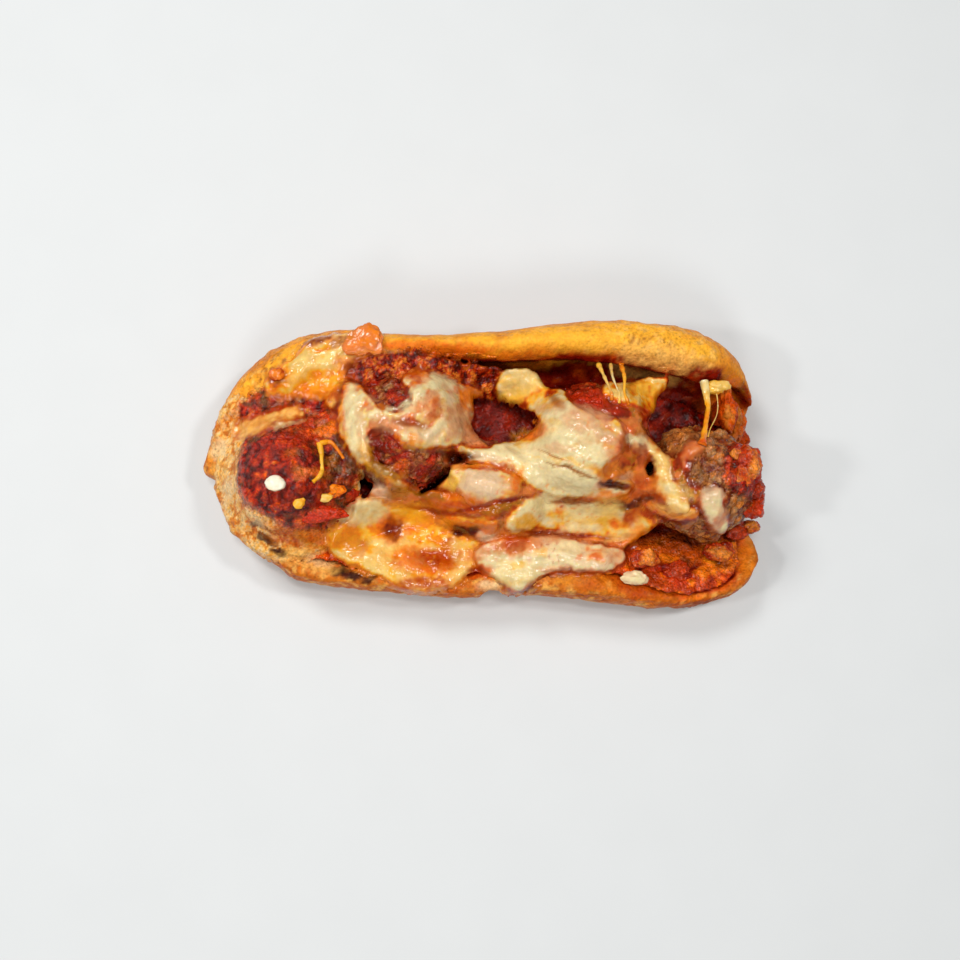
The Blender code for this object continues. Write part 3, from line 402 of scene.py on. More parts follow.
# The film that joins the sheets: how far it reaches across a gap, and the places it leaves open
BRIDGE_STEPS = 13
UNBRIDGED = ("cheese_left_strip",)
HOLES = (
    ("meat slot", -31, 0, 12, 4, -43),
    ("gap", -43, -6, 8, 2.5, -30),
    ("dark crease", -13, 0.5, 8, 2, 3),
    ("cap", -40, 34, 4, 2.5, 0),
    ("cavity", 8, 19, 13.5, 6, -22),
    ("back wall", 34, 33, 13, 3.5, 0),
    ("sauce on the ball", 41, 19, 12, 4, -15),
    ("swirl", 61, -4, 2, 3, 0),
    ("meat on the right", 80, -5, 7, 8, -30),
    ("grey meat", 79, 17, 7, 9, 0),
    ("corner between", 68, 20, 3, 6, 0),
)
# Folds that stand up from the cheese and creases in it: what, x, y, half length, half width, angle, height
RELIEF = (
    ("white band", -48, 15, 11.5, 4, -82, 1.4),
    ("tail of the band", -40, -4, 10.5, 3, -33, 1.3),
    ("streak start", -31, 18, 5, 2, 20, 1.1),
    ("streak middle", -24, 23, 4.5, 2.5, 55, 1.3),
    ("streak end", -16, 29, 6.5, 3, 5, 1.4),
    ("streak down", -11, 22, 4.5, 2.5, -85, 1),
    ("orange lump", -20, 16, 5.5, 4, 60, 1),
    ("knob on the skin", -25, 5, 4, 2.5, 0, 1),
    ("hollow below the streak", -27, 11, 7.5, 2, -10, -1.3),
    ("hollow left of the streak", -34, 23, 4, 2, 0, -1.2),
    ("cap", -48, 34, 6, 3, 0, 0.8),
    ("fold one", -17, -15, 18.5, 2.5, -12, 1.3),
    ("fold two", -13, -22, 15.5, 2, -9, 1.1),
    ("crease between the folds", -15, -19, 16.5, 1, -11, -1.4),
    ("crease above the folds", -21, -10, 12.5, 1, -10, -1.3),
    ("front left ridge", -44, -19, 8.5, 3, 30, 0.9),
    ("pool", -18, -36, 11, 5, -5, -0.9),
    ("ridge by the pool", -26, -27, 11, 2, -8, 0.9),
    ("dent of the spot", -35, -25, 4, 4, 0, -0.9),
    ("front edge lump", -17, -45, 9.5, 2, -3, 0.9),
    ("bridge", -4, 7, 18, 3, -8, 1.4),
    ("dark crease", -13, 0, 9, 2, 3, -2.2),
    ("fold below it", -4, -3, 14.5, 1, -2, 1),
    ("lump", -1, -11, 13.5, 5, -6, 1.7),
    ("crease under the lump", 1, -17, 17.5, 1, 12, -1.6),
    ("diagonal band", 22, -5, 21, 4.5, -30, 1.7),
    ("crease one", 31, -5, 10.5, 0.5, -20, -1.3),
    ("crease two", 25, 0, 8, 0.5, -28, -0.9),
    ("blob", 28, 8, 10, 7.5, 0, 1),
    ("dark line right", 48, -10, 6, 1, -4, -2.2),
    ("ridge over it", 49, -7, 6.5, 1, 15, 1.1),
    ("ridge under it", 44, -14, 12.5, 1.5, 3, 1),
    ("hole in the front sheet", 33, -15, 8.5, 1, 0, -1.8),
    ("lump on the front", 17, -22, 9, 3.5, 15, 1.1),
    ("lump on the front two", 41, -20, 9.5, 4, 0, 0.9),
    ("pink roll", 30, -34, 23.5, 5, -6, 1.7),
    ("crease above the roll", 31, -27, 22.5, 1, -3, -1.4),
    ("drip", 12, -42, 9, 3.5, 0, 0.7),
    ("right band", 64, -8, 12, 3, -65, 1.5),
    ("right ridge", 70, -18, 9, 2, -22, 1.7),
    ("right patch", 82, -18, 9.5, 4, -80, 1.2),
    ("hole in the fold", -7, -26, 5, 1.5, 0, -2),
    ("top lobe", 15, 30, 8.5, 5, 0, 0.9),
    ("side of the top lobe", 26, 21, 2.5, 6.5, 30, -0.9),
)
FILM_SHEET = ("toast", "toast", "rust", "olive", "tan", "blush")
# More films: name, ellipses as x, y, half length, half width and angle, colours, direction, noise seed
FILMS = (
    ("film_right", ((68, -18, 11, 4, -20),), ("toast", "toast", "rust", "tan"), -25, 54),
    ("film_left", ((-52, 23, 7, 5, 30),), ("toast", "rust", "amber", "straw"), 30, 55),
)
# Fillings between a meatball and the bread: name, ellipses, colours, grain size of its lumps, material, seed
RED_SAUCE = ("deep", "sauce", "sauce", "scarlet", "rust", "orange", "tan")
BROWN_SAUCE = ("deep", "sauce", "rust", "tan", "rust", "orange")
FILLS = (
    ("crumb_left", ((-74, -6, 28, 30, 0), (-92, 9, 11, 15, 0)), ("tan", "straw", "crumb", "straw", "gold", "tan"), 0.3,
     "crust", 56),
    ("sauce_fill_left", ((-68, 0, 21, 24, 0), (-62, -20, 12, 6, 10), (-78, 19, 14, 9, 25)), RED_SAUCE, 1.0, "sauce", 57),
    ("sauce_fill_back", ((-24, 34.3, 26, 4.6, -4), (-2, 31, 13, 5.5, 0), (-47, 33.5, 9, 5.5, 0)), BROWN_SAUCE, 1.0, "sauce", 58),
    ("sauce_fill_corner", ((-60, 24, 9, 5, 0),), RED_SAUCE, 1.0, "sauce", 59),
)

# Strings of cheese: name, points, thickness at the start, middle and end, colours from start to end
STRINGS = (
    ("string_left", ((-60.1, 5.2, 36), (-59.0, -0.8, 36), (-58.8, -6.1, 36), (-61.4, -9.6, 36)), (2.6, 1.3, 1.7),
     ("yellow", "butter", "yellow")),
    ("string_left_branch", ((-59.8, 5.0, 34), (-56.2, 5.6, 34), (-53.3, 2.4, 30), (-51.4, -0.4, 25)), (2.0, 1.1, 1.2),
     ("yellow", "amber", "amber")),
    ("string_back_one", ((43.0, 36.5, 35), (44.4, 30.0, 41.5), (45.8, 24.6, 45.0), (46.2, 20.6, 46.0)), (2.2, 0.8, 1.2),
     ("butter", "cream", "amber")),
    ("string_back_two", ((47.6, 36.5, 35), (47.2, 30, 42.5), (48.8, 24, 45), (48.8, 19.5, 46.8)), (1.6, 0.6, 1.1),
     ("butter", "ivory", "butter")),
    ("string_back_three", ((51.5, 36.5, 35), (51.6, 30.0, 42.2), (51.0, 23, 45), (52.4, 19.0, 46.2)), (2.2, 1.0, 1.2),
     ("amber", "butter", "amber")),
    ("string_thin", ((85.8, 29.2, 38), (87.6, 22.8, 35.5), (86.8, 17.1, 37), (83.0, 11, 42), (81.2, 7.5, 45.5)),
     (0.5, 0.35, 0.5), ("cream", "cream", "butter")),
)

# Small lumps: name, centre, half sizes, colours from its bottom to its top, material, noise seed
LUMPS = (
    ("onion_left", (-66.8, -16.8, 46.0), (2.3, 2.3, 1.3), ("amber", "yellow", "butter"), "cheese", 101),
    ("onion_low", (-58.4, -14.8, 38.6), (3.0, 1.5, 1.2), ("amber", "butter", "cream"), "cheese", 102),
    ("onion_right", (93.4, -1.6, 45.5), (1.7, 3.2, 1.4), ("blush", "blushwhite", "cream"), "cheese", 103),
    ("tomato_right", (94.6, -4.5, 36.5), (5.4, 7.6, 6.0), ("deep", "sauce", "sauce", "rust", "tan"), "sauce", 104),
    ("tomato_end", (100.5, -16.5, 28), (4.5, 5.5, 5.0), ("sauce", "scarlet", "rust"), "sauce", 105),
    ("cheese_crumb_front", (57.0, -43.5, 25.6), (4.6, 2.6, 1.5), ("blush", "blushwhite", "ivory"), "cheese", 106),
    ("cheese_knob_back", (-44.0, 43.2, 37.5), (7.2, 5.6, 1.5), ("rust", "orange", "tan", "blush", "amber"), "cheese", 107),
    ("cheese_blister", (-76.9, 31.3, 37.0), (2.6, 2.6, 1.6), ("toast", "rust", "amber"), "cheese", 108),
    ("cheese_web_top", (87.2, 27.6, 36.5), (4.4, 2.6, 2.0), ("amber", "butter", "cream"), "cheese", 109),
    ("tomato_flap", (60.7, -35.9, 27.0), (4.8, 3.8, 2.4), ("deep", "sauce", "rust", "tan"), "sauce", 110),
    ("burnt_nub", (79.0, -52.8, 9.5), (3.0, 2.2, 3.2), ("char", "toast", "rust"), "crust", 111),
    ("burnt_nub_two", (86.5, -51.5, 11.5), (2.4, 1.7, 2.2), ("toast", "rust", "toast"), "crust", 112),
    ("torn_wall_one", (93.0, 20.5, 27), (4.0, 7.5, 6.5), ("toast", "rust", "rust", "orange", "tan"), "crust", 114),
    ("torn_wall_two", (98.0, 16.0, 20), (3.8, 7.0, 7.0), ("rust", "tan", "orange", "tan"), "crust", 115),
    ("torn_wall_three", (101.4, 11.5, 13), (3.6, 5.5, 6.0), ("tan", "orange", "rust"), "crust", 116),
    ("torn_wall_four", (96.0, 22.0, 14), (4.6, 6.0, 9.0), ("tan", "rust", "orange"), "crust", 119),
    ("tomato_edge_one", (91.5, 0.5, 40), (3.4, 3.0, 2.6), ("deep", "sauce", "rust", "tan"), "sauce", 120),
    ("tomato_edge_two", (98.0, 0.2, 30), (2.6, 3.4, 3.6), ("deep", "sauce", "scarlet", "rust"), "sauce", 121),
    ("tomato_edge_three", (99.5, -10.5, 26), (3.0, 4.0, 3.6), ("deep", "sauce", "rust"), "sauce", 122),
    ("tomato_end_two", (103.6, -23.4, 17), (3.6, 2.6, 2.6), ("deep", "sauce", "rust", "tan"), "sauce", 123),
    ("tomato_end_three", (98.4, -26.0, 19), (4.2, 2.8, 2.6), ("deep", "sauce", "rust"), "sauce", 124),
    ("tomato_left_piece", (-55.2, -12.0, 38), (4.0, 2.6, 1.8), ("scarlet", "orange", "amber"), "sauce", 125),
    ("tomato_flap_two", (73.0, -41.0, 22.5), (6.0, 3.6, 2.2), ("deep", "sauce", "rust"), "sauce", 117),
    ("tomato_flap_three", (90.0, -33.0, 20.0), (5.5, 4.0, 2.0), ("deep", "sauce", "rust", "tan"), "sauce", 118),
    ("tomato_left_ridge", (-61.0, -20.5, 35.5), (9.0, 2.8, 2.4), ("deep", "sauce", "scarlet", "rust"), "sauce", 113),
)

# Fineness of the meshes
ROLL_VOXEL, BALL_VOXEL, SAUCE_VOXEL, BIT_VOXEL = 1.05, 0.6, 0.85, 0.35
GRID = 0.5
X_FROM, X_TO, Y_FROM, Y_TO = -112.0, 114.0, -60.0, 60.0


def linear(colour):
    """The named colour as linear light."""
    value = np.array(COLOURS[colour]) / 255
    return np.where(value < 0.04045, value / 12.92, ((value + 0.055) / 1.055) ** 2.4)


def smoothstep(value, low, high):
    t = np.clip((value - low) / (high - low), 0, 1)
    return t * t * (3 - 2 * t)


def mix(a, b, share):
    share = np.asarray(share)[:, None]
    return a * (1 - share) + b * share


def ramp(value, names):
    """Colours along evenly spaced named stops, for values from 0 to 1."""
    stops = np.array([linear(name) for name in names])
    places = np.linspace(0, 1, len(names))
    return np.stack([np.interp(value, places, stops[:, k]) for k in range(3)], 1)


TABLE_SIZE = 256
RANDOM = np.random.default_rng(20)
SHUFFLE = RANDOM.permutation(TABLE_SIZE)
DIRECTIONS = RANDOM.normal(size=(TABLE_SIZE, 3))
DIRECTIONS /= np.linalg.norm(DIRECTIONS, axis=1)[:, None]
PLACES = RANDOM.random((TABLE_SIZE, 3))
SEED_STEP = np.array([17.31, 9.77, 5.13])


def shuffled(cell):
    """A repeatable number below TABLE_SIZE for each whole-number cell."""
    last = TABLE_SIZE - 1
    inner = SHUFFLE[(cell[:, 1] + SHUFFLE[cell[:, 2] & last]) & last]
    return SHUFFLE[(cell[:, 0] + inner) & last]


def noise(points, size, seed):
    """Smooth noise from about -1 to 1, with bumps of about the given size."""
    place = points / size + seed * SEED_STEP
    cell = np.floor(place).astype(int)
    inside = place - cell
    fade = inside**3 * (inside * (inside * 6 - 15) + 10)
    total = np.zeros(len(points))
    for corner in np.ndindex(2, 2, 2):
        slope = DIRECTIONS[shuffled(cell + corner)]
        weight = np.prod(np.where(np.array(corner) == 1, fade, 1 - fade), axis=1)
        total += weight * (slope * (inside - corner)).sum(1)
    return total * 1.6


def layered(points, size, seed, layers=3):
    """Noise with finer and weaker noise on top."""
    return sum(noise(points, size / 2**k, seed + k) / 2**k for k in range(layers)) / 1.5


def grains(points, size, seed):
    """Packed grains: distance to the nearest and the second nearest grain's centre, and the grain's number."""
    place = points / size + seed * SEED_STEP
    cell = np.floor(place).astype(int)
    nearest = np.full(len(points), 9.0)
    second = np.full(len(points), 9.0)
    number = np.zeros(len(points), int)
    for step in np.ndindex(3, 3, 3):
        other = cell + np.array(step) - 1
        key = shuffled(other)
        away = np.linalg.norm(other + PLACES[key] - place, axis=1)
        closer = away < nearest
        second = np.where(closer, nearest, np.minimum(second, away))
        number = np.where(closer, key, number)
        nearest = np.where(closer, away, nearest)
    return nearest, second, number / TABLE_SIZE


def flat_points(points):
    """The points with no height, for noise that is the same all the way down."""
    return np.column_stack([points[:, 0], points[:, 1], np.zeros(len(points))])


def read_points(mesh):
    values = np.empty(len(mesh.vertices) * 3, np.float32)
    mesh.vertices.foreach_get("co", values)
    return values.reshape(-1, 3).astype(float) / MM


def write_points(mesh, points):
    mesh.vertices.foreach_set("co", (points * MM).astype(np.float32).ravel())
    mesh.update()


def read_normals(mesh):
    values = np.empty(len(mesh.vertices) * 3, np.float32)
    mesh.vertices.foreach_get("normal", values)
    return values.reshape(-1, 3).astype(float)


def read_edges(mesh):
    values = np.empty(len(mesh.edges) * 2, np.int32)
    mesh.edges.foreach_get("vertices", values)
    return values.reshape(-1, 2)


def read_colours(mesh):
    values = np.empty(len(mesh.vertices) * 4, np.float32)
    mesh.color_attributes["Tone"].data.foreach_get("color", values)
    return values.reshape(-1, 4)[:, :3].astype(float)


def spread(values, edges):
    """Each vertex's value averaged over its neighbours."""
    columns = values.reshape(len(values), -1)
    a, b = edges[:, 0], edges[:, 1]
    count = np.bincount(a, minlength=len(values)) + np.bincount(b, minlength=len(values))
    sums = [
        np.bincount(a, column[b], minlength=len(values)) + np.bincount(b, column[a], minlength=len(values))
        for column in columns.T
    ]
    return (np.stack(sums, 1) / np.maximum(count, 1)[:, None]).reshape(values.shape)


def smoothed(points, edges, rounds):
    """Points smoothed without shrinking the shape: each round of smoothing is followed by one back."""
    for _ in range(rounds):
        for share in (0.5, -0.52):
            points = points + share * (spread(points, edges) - points)
    return points


def fine_copy(node, voxel, rounds, name):
    """A fine, even, smoothed copy of a CAD node's mesh as a new object."""
    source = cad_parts[node]
    shape = bpy.data.objects.new(name + "_coarse", source.data.copy())
    bpy.context.scene.collection.objects.link(shape)
    weld = shape.modifiers.new("weld", "WELD")
    weld.merge_threshold = 1e-6
    remesh = shape.modifiers.new("fine", "REMESH")
    remesh.mode = "VOXEL"
    remesh.voxel_size = voxel * MM
    bpy.context.view_layer.update()
    mesh = bpy.data.meshes.new_from_object(shape.evaluated_get(bpy.context.evaluated_depsgraph_get()))
    bpy.data.objects.remove(shape)
    mesh.name = name
    write_points(mesh, smoothed(read_points(mesh), read_edges(mesh), rounds))
    made = bpy.data.objects.new(name, mesh)
    bpy.context.scene.collection.objects.link(made)
    return made


def finish_piece(made, colours, gloss, fleck, material, nodes):
    """Stores the painted colours, gives the piece its material, attaches it to the root body and hides the CAD nodes it
    stands for.
    """
    mesh = made.data
    tone = mesh.color_attributes.new(name="Tone", type="FLOAT_COLOR", domain="POINT")
    tone.data.foreach_set("color", np.column_stack([colours, np.ones(len(colours))]).astype(np.float32).ravel())
    for name, values in (("Wet", gloss), ("Fleck", fleck)):
        stored = mesh.attributes.new(name=name, type="FLOAT", domain="POINT")
        stored.data.foreach_set("value", np.clip(values, 0, 1).astype(np.float32))
    mesh.materials.clear()
    mesh.materials.append(material)
    mesh.shade_smooth()
    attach(made, "root")
    if nodes:
        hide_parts(*nodes)
    return made


# The colour of the ring around a mark of each dark colour
HALOS = {"char": "toast", "toast": "orange", "rust": "amber", "orange": "yellow"}


def apply_marks(colours, points, facing, marks, seed):
    """Paints the marks that lie on the piece, with uneven edges, on faces that look up."""
    flat = flat_points(points)
    warp_x = 1.4 * noise(flat, 6, seed) + 0.8 * noise(flat, 2.2, seed + 1)
    warp_y = 1.4 * noise(flat, 6, seed + 2) + 0.8 * noise(flat, 2.2, seed + 3)
    warped = points + np.column_stack([warp_x, warp_y, np.zeros(len(points))])
    grain = 0.2 * noise(flat, 1.3, seed + 4) + 0.25 * noise(flat, 3.5, seed + 5)
    broken = 0.8 + 0.35 * noise(flat, 1.8, seed + 6)
    upward = smoothstep(facing, 0.0, 0.35)
    for _, x, y, length, width, angle, colour, strength in marks:
        away = away_from(warped, x, y, length, width, angle) + grain
        if colour in HALOS:
            ring = 0.5 * strength * smoothstep(away, 1.8, 1.0) * upward
            colours = mix(colours, linear(HALOS[colour]), ring)
        reach = (1.6, 1.05) if colour == "char" else (1.3, 0.65)
        mask = strength * smoothstep(away, *reach) * upward * np.clip(broken, 0.4, 1)
        colours = mix(colours, linear(colour), mask)
    return colours


def away_from(points, x, y, length, width, angle):
    """How far points lie from an ellipse's middle: 1 on its edge."""
    turn = math.radians(angle)
    dx, dy = points[:, 0] - x, points[:, 1] - y
    along = (dx * math.cos(turn) + dy * math.sin(turn)) / length
    across = (dy * math.cos(turn) - dx * math.sin(turn)) / width
    return np.hypot(along, across)


class Ground:
    """Heights and colours of the pieces laid so far, on a fine grid over the sandwich."""

    def __init__(self):
        self.xs = np.arange(X_FROM, X_TO, GRID)
        self.ys = np.arange(Y_FROM, Y_TO, GRID)
        self.z = np.zeros((len(self.xs), len(self.ys)))
        self.colours = np.zeros((*self.z.shape, 3))
        gx, gy = np.meshgrid(self.xs, self.ys, indexing="ij")
        self.flat = np.column_stack([gx.ravel(), gy.ravel(), np.zeros(gx.size)])

    def add(self, mesh):
        """Raises the heights to the mesh's upper face, and takes its colours there."""
        points, colours = read_points(mesh), read_colours(mesh)
        a, b = read_edges(mesh).T
        every = np.vstack([points, (points[a] + points[b]) / 2])
        tints = np.vstack([colours, (colours[a] + colours[b]) / 2])
        order = np.argsort(every[:, 2])
        every, tints = every[order], tints[order]
        i = np.clip(np.rint((every[:, 0] - X_FROM) / GRID).astype(int), 0, len(self.xs) - 1)
        j = np.clip(np.rint((every[:, 1] - Y_FROM) / GRID).astype(int), 0, len(self.ys) - 1)
        heights, shades = np.zeros_like(self.z), np.zeros_like(self.colours)
        heights[i, j] = every[:, 2]
        shades[i, j] = tints
        for _ in range(2):
            near = beside(heights)
            highest = near.argmax(0)
            empty = heights == 0
            tones = np.stack([beside(shades[..., k]) for k in range(3)], -1)
            nearest = np.take_along_axis(tones, highest[None, ..., None], 0)[0]
            shades = np.where(empty[..., None], nearest, shades)
            heights = np.where(empty, near.max(0), heights)
        self.lay(heights > self.z, heights, shades)

    def height(self, points):
        """The height of the pieces below each point."""
        i = np.clip(np.rint((points[:, 0] - X_FROM) / GRID).astype(int), 0, len(self.xs) - 1)
        j = np.clip(np.rint((points[:, 1] - Y_FROM) / GRID).astype(int), 0, len(self.ys) - 1)
        return self.z[i, j]

    def lay(self, where, heights, shades):
        self.z = np.where(where, heights, self.z)
        self.colours = np.where(where[..., None], shades, self.colours)


def beside(heights):
    """The grid shifted to each of its four sides."""
    padded = np.pad(heights, 1, mode="edge")
    return np.stack([padded[2:, 1:-1], padded[:-2, 1:-1], padded[1:-1, 2:], padded[1:-1, :-2]])


def blurred(heights, rounds):
    for _ in range(rounds):
        heights = 0.4 * heights + 0.15 * beside(heights).sum(0)
    return heights


def looked_down_on(node, ground):
    """A CAD node's upper heights on the ground's grid, and where it has any."""
    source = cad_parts[node].data
    points = read_points(source)
    tree = BVHTree.FromPolygons(points.tolist(), [p.vertices[:] for p in source.polygons])
    heights = np.zeros_like(ground.z)
    there = np.zeros(ground.z.shape, bool)
    low, high = points.min(0), points.max(0)
    for i in np.flatnonzero((ground.xs >= low[0]) & (ground.xs <= high[0])):
        for j in np.flatnonzero((ground.ys >= low[1]) & (ground.ys <= high[1])):
            hit = tree.ray_cast(Vector((ground.xs[i], ground.ys[j], high[2] + 1)), Vector((0, 0, -1)))[0]
            if hit is not None:
                heights[i, j], there[i, j] = hit.z, True
    return heights, there


def stretched(heights):
    """A stretched skin over the heights: it bridges narrow gaps and sags into wide ones."""
    coarse = 3
    rows, columns = (n // coarse * coarse for n in heights.shape)
    blocks = heights[:rows, :columns].reshape(rows // coarse, coarse, columns // coarse, coarse)
    low = blocks.max((1, 3))
    skin = low.copy()
    for _ in range(90):
        skin = np.maximum(low, beside(skin).mean(0) - 0.05)
    skin = np.kron(skin, np.ones((coarse, coarse)))
    skin = np.pad(skin, ((0, heights.shape[0] - rows), (0, heights.shape[1] - columns)), mode="edge")
    return blurred(skin, 8)


def lay_sheet(node, names, direction, seed, ground, marks, material, slot, grit=0.0):
    """A thin melted sheet where its CAD node lies."""
    heights, there = looked_down_on(node, ground)
    if slot == "cheese":
        there = without_holes(there, ground)
        heights = np.where(there, heights, 0)
    return melt(node + "_melted", heights, there, names, direction, seed, ground, marks, material, [node], grit)


def grown(mask, steps):
    """The mask grown by that many steps of the grid."""
    for _ in range(steps):
        mask = mask | (beside(mask.astype(float)).max(0) > 0)
    return mask


def lay_bridge(ground, material):
    """The browned film of cheese that joins the sheets wherever they lie close together."""
    footprints = np.zeros(ground.z.shape, bool)
    for node, *_ in CHEESES:
        if node not in UNBRIDGED:
            footprints |= looked_down_on(node, ground)[1]
    joined = ~grown(~grown(footprints, BRIDGE_STEPS), BRIDGE_STEPS + 3)
    joined = without_holes(joined, ground)
    heights = np.where(joined, stretched(ground.z) + 0.3, 0)
    return melt(
        "cheese_film", heights, joined, FILM_SHEET, -20, 51, ground, CHEESE_MARKS, material, []
    )


def lay_film(name, spots, names, direction, seed, ground, marks, material, lift=0.4, grit=0.0):
    """A thin film that joins the sheets: spots are x, y, half length, half width and angle."""
    there = np.zeros(ground.z.size, bool)
    for spot in spots:
        there |= away_from(ground.flat, *spot) < 1
    there = there.reshape(ground.z.shape)
    heights = np.where(there, stretched(ground.z) + lift, 0)
    return melt(name, heights, there, names, direction, seed, ground, marks, material, [], grit)


def raised(points):
    """How far the folds stand up and the creases cut in, in millimetres."""
    warp = 0.7 * noise(points, 5, 47)
    warped = points + np.column_stack([warp, -warp, np.zeros(len(points))])
    up, down = np.zeros(len(points)), np.zeros(len(points))
    for _, *spot, height in RELIEF:
        bell = height * np.exp(-1.2 * away_from(warped, *spot) ** 2)
        up, down = np.maximum(up, bell), np.minimum(down, bell)
    return up, down


def without_holes(there, ground):
    """The places less the holes, whose edges are uneven."""
    warp = 1.2 * noise(ground.flat, 5, 44)
    warped = ground.flat + np.column_stack([warp, -warp, np.zeros(len(warp))])
    for _, *hole in HOLES:
        there = there & (away_from(warped, *hole) > 1).reshape(there.shape)
    return there


def melt(name, heights, there, names, direction, seed, ground, marks, material, nodes, grit=0.0):
    """A melted sheet at the heights: thick and folded in the middle, and a clinging, fading skin around it."""
    rounds, skirt_rounds = 22, 70
    weight = blurred(there.astype(float), rounds)
    wide = blurred(weight, skirt_rounds)
    close = blurred(heights, rounds) / np.maximum(weight, 0.02)
    far = blurred(blurred(heights, rounds), skirt_rounds) / np.maximum(wide, 0.02)
    level = np.where(weight > 0.25, close, far)
    near = np.flatnonzero(wide.ravel() > 0.08)
    spots = ground.flat[near]

    turn = math.radians(direction)
    along = spots[:, 0] * math.cos(turn) + spots[:, 1] * math.sin(turn)
    across = spots[:, 1] * math.cos(turn) - spots[:, 0] * math.sin(turn)
    bend = 2.2 * noise(spots, 11, seed + 9)
    lines = np.column_stack([along / 3.5, across + bend, np.zeros(len(spots))])
    ragged = 0.2 * noise(spots, 5, seed) + 0.15 * noise(spots, 2.2, seed + 1)
    inset = weight.ravel()[near] + ragged
    reach = 0.16 * noise(spots, 10, seed + 15) + 0.07 * noise(spots, 1.1, seed + 11)
    skirt = wide.ravel()[near] + 0.7 * ragged + reach
    body = smoothstep(inset, 0.4, 0.85)
    folds = 1.7 * (0.3 - np.abs(noise(lines, 5, seed + 2))) + 0.8 * (0.3 - np.abs(noise(lines, 2.2, seed + 3)))
    lumps = 1.0 * noise(spots, 8, seed + 4) + 0.5 * noise(spots, 3.4, seed + 5)
    up, down = raised(spots)
    if grit:
        swirl = np.stack([noise(spots, 4, seed + 20 + k) for k in range(3)], 1) * 1.6
        nearest, second, number = grains(spots + swirl, 3.4, seed + 24)
        small, _, small_number = grains(spots + swirl, 1.6, seed + 25)
        swell = grit * (2.3 * (0.6 - nearest) + 1.3 * (0.6 - small)) + lumps + 1.2 * noise(spots, 12, seed + 26)
        down = 0 * down
    else:
        swell = 0.8 * folds + 0.8 * lumps + 0.22 * noise(spots, 1.7, seed + 16) + up + down
    bead = 0.5 * np.exp(-(((inset - 0.62) / 0.14) ** 2))
    under = ground.z.ravel()[near]
    droop = 1.2 * (1 - body) + 7 * (1 - smoothstep(inset, 0.05, 0.5))
    top = level.ravel()[near] - droop + swell * body + bead
    groove = np.clip(-down, 0, 1)
    top = np.maximum(top, under + 0.08 + 0.5 * body * (1 - groove))
    thick = np.clip(top - under, 0, 4)

    top_grid = np.zeros(ground.z.size)
    top_grid[near] = top
    kept = np.zeros(ground.z.size, bool)
    kept[near[(skirt > 0.2) & ((thick < 2.5) | (inset > 0.3))]] = True
    kept = kept.reshape(ground.z.shape)
    easing = 1 if grit else 2
    share = np.maximum(blurred(kept.astype(float), easing), 0.01)
    eased = blurred(np.where(kept, top_grid.reshape(kept.shape), 0), easing) / share
    top_grid = np.maximum(eased, ground.z + 0.08).ravel()
    corners = kept[:-1, :-1] & kept[1:, :-1] & kept[:-1, 1:] & kept[1:, 1:]
    rows, columns = np.nonzero(corners)
    size = ground.z.shape[1]
    first = rows * size + columns
    quads = np.column_stack([first, first + size, first + size + 1, first + 1])
    used, numbers = np.unique(quads, return_inverse=True)
    quads = numbers.reshape(-1, 4)
    count = len(used)
    upper = np.column_stack([ground.flat[used, :2], top_grid[used]])
    place = np.full(ground.z.size, -1)
    place[near] = np.arange(len(near))
    body, skirt, thick = body[place[used]], skirt[place[used]], thick[place[used]]
    swell, groove = np.clip(swell[place[used]], -1, 1), groove[place[used]]
    ring = rim_edges(quads)
    upper = eased_rim(upper, ring, 6)
    lower = upper.copy()
    lower[:, 2] -= 0.4 + 0.9 * body
    sides = np.column_stack([ring[:, 1], ring[:, 0], ring[:, 0] + count, ring[:, 1] + count])
    faces = np.vstack([quads, quads[:, ::-1] + count, sides])

    mesh = bpy.data.meshes.new(name)
    mesh.from_pydata((np.vstack([upper, lower]) * MM).tolist(), [], faces.tolist())
    made = bpy.data.objects.new(name, mesh)
    bpy.context.scene.collection.objects.link(made)
    edges = read_edges(mesh)
    points = read_points(mesh)
    points += (0.15 if grit else 0.5) * (spread(points, edges) - points)
    write_points(mesh, points)

    facing = np.abs(read_normals(mesh)[:, 2])
    solid = np.concatenate([body * np.clip(0.3 + thick / 3.5 + 0.22 * swell, 0, 1.1)] * 2)
    uneven = 0.38 * noise(points, 6, seed + 6) + 0.28 * noise(points, 2.2, seed + 7)
    if grit:
        # Grains of random tone, darker towards their edges as painted shade between the grains
        blend = 0.55 * number + 0.45 * small_number - 0.5 * smoothstep(nearest, 0.45, 0.8)
        shade = np.concatenate([blend[place[used]]] * 2)
        solid = 0.95 * shade - 0.06
        uneven = 0.6 * uneven + 0.25 * noise(points, 1.2, seed + 27)
    colours = ramp(np.clip(solid + uneven, 0, 1), names)
    colours = apply_marks(colours, points, facing, marks, seed)
    # Painted shade in the valleys of the sheet and in its creases
    valley_shade = np.concatenate([smoothstep(swell, 0.05, -0.7)] * 2)
    colours = mix(colours, colours * np.array(VALLEY_SHADE_TINT), 0.7 * valley_shade)
    colours = mix(colours, colours * np.array(CREASE_SHADE_TINT), 0.85 * np.concatenate([smoothstep(groove, 0.2, 0.9)] * 2))
    specks = smoothstep(noise(points, 1.5, seed + 12), 0.35, 0.6) * smoothstep(noise(points, 9, seed + 13), -0.1, 0.4)
    colours = mix(colours, linear(names[1]), 0.5 * specks)
    clear = 0.93 + 0.14 * noise(points, 2.8, seed + 14)
    cover = np.concatenate([smoothstep(skirt, 0.2, 0.52)] * 2) * np.clip(clear, 0.7, 1)
    below = np.vstack([ground.colours.reshape(-1, 3)[used]] * 2)
    colours = mix(below, colours, cover)
    gloss = 0.6 + 0.4 * noise(points, 3, seed + 8)

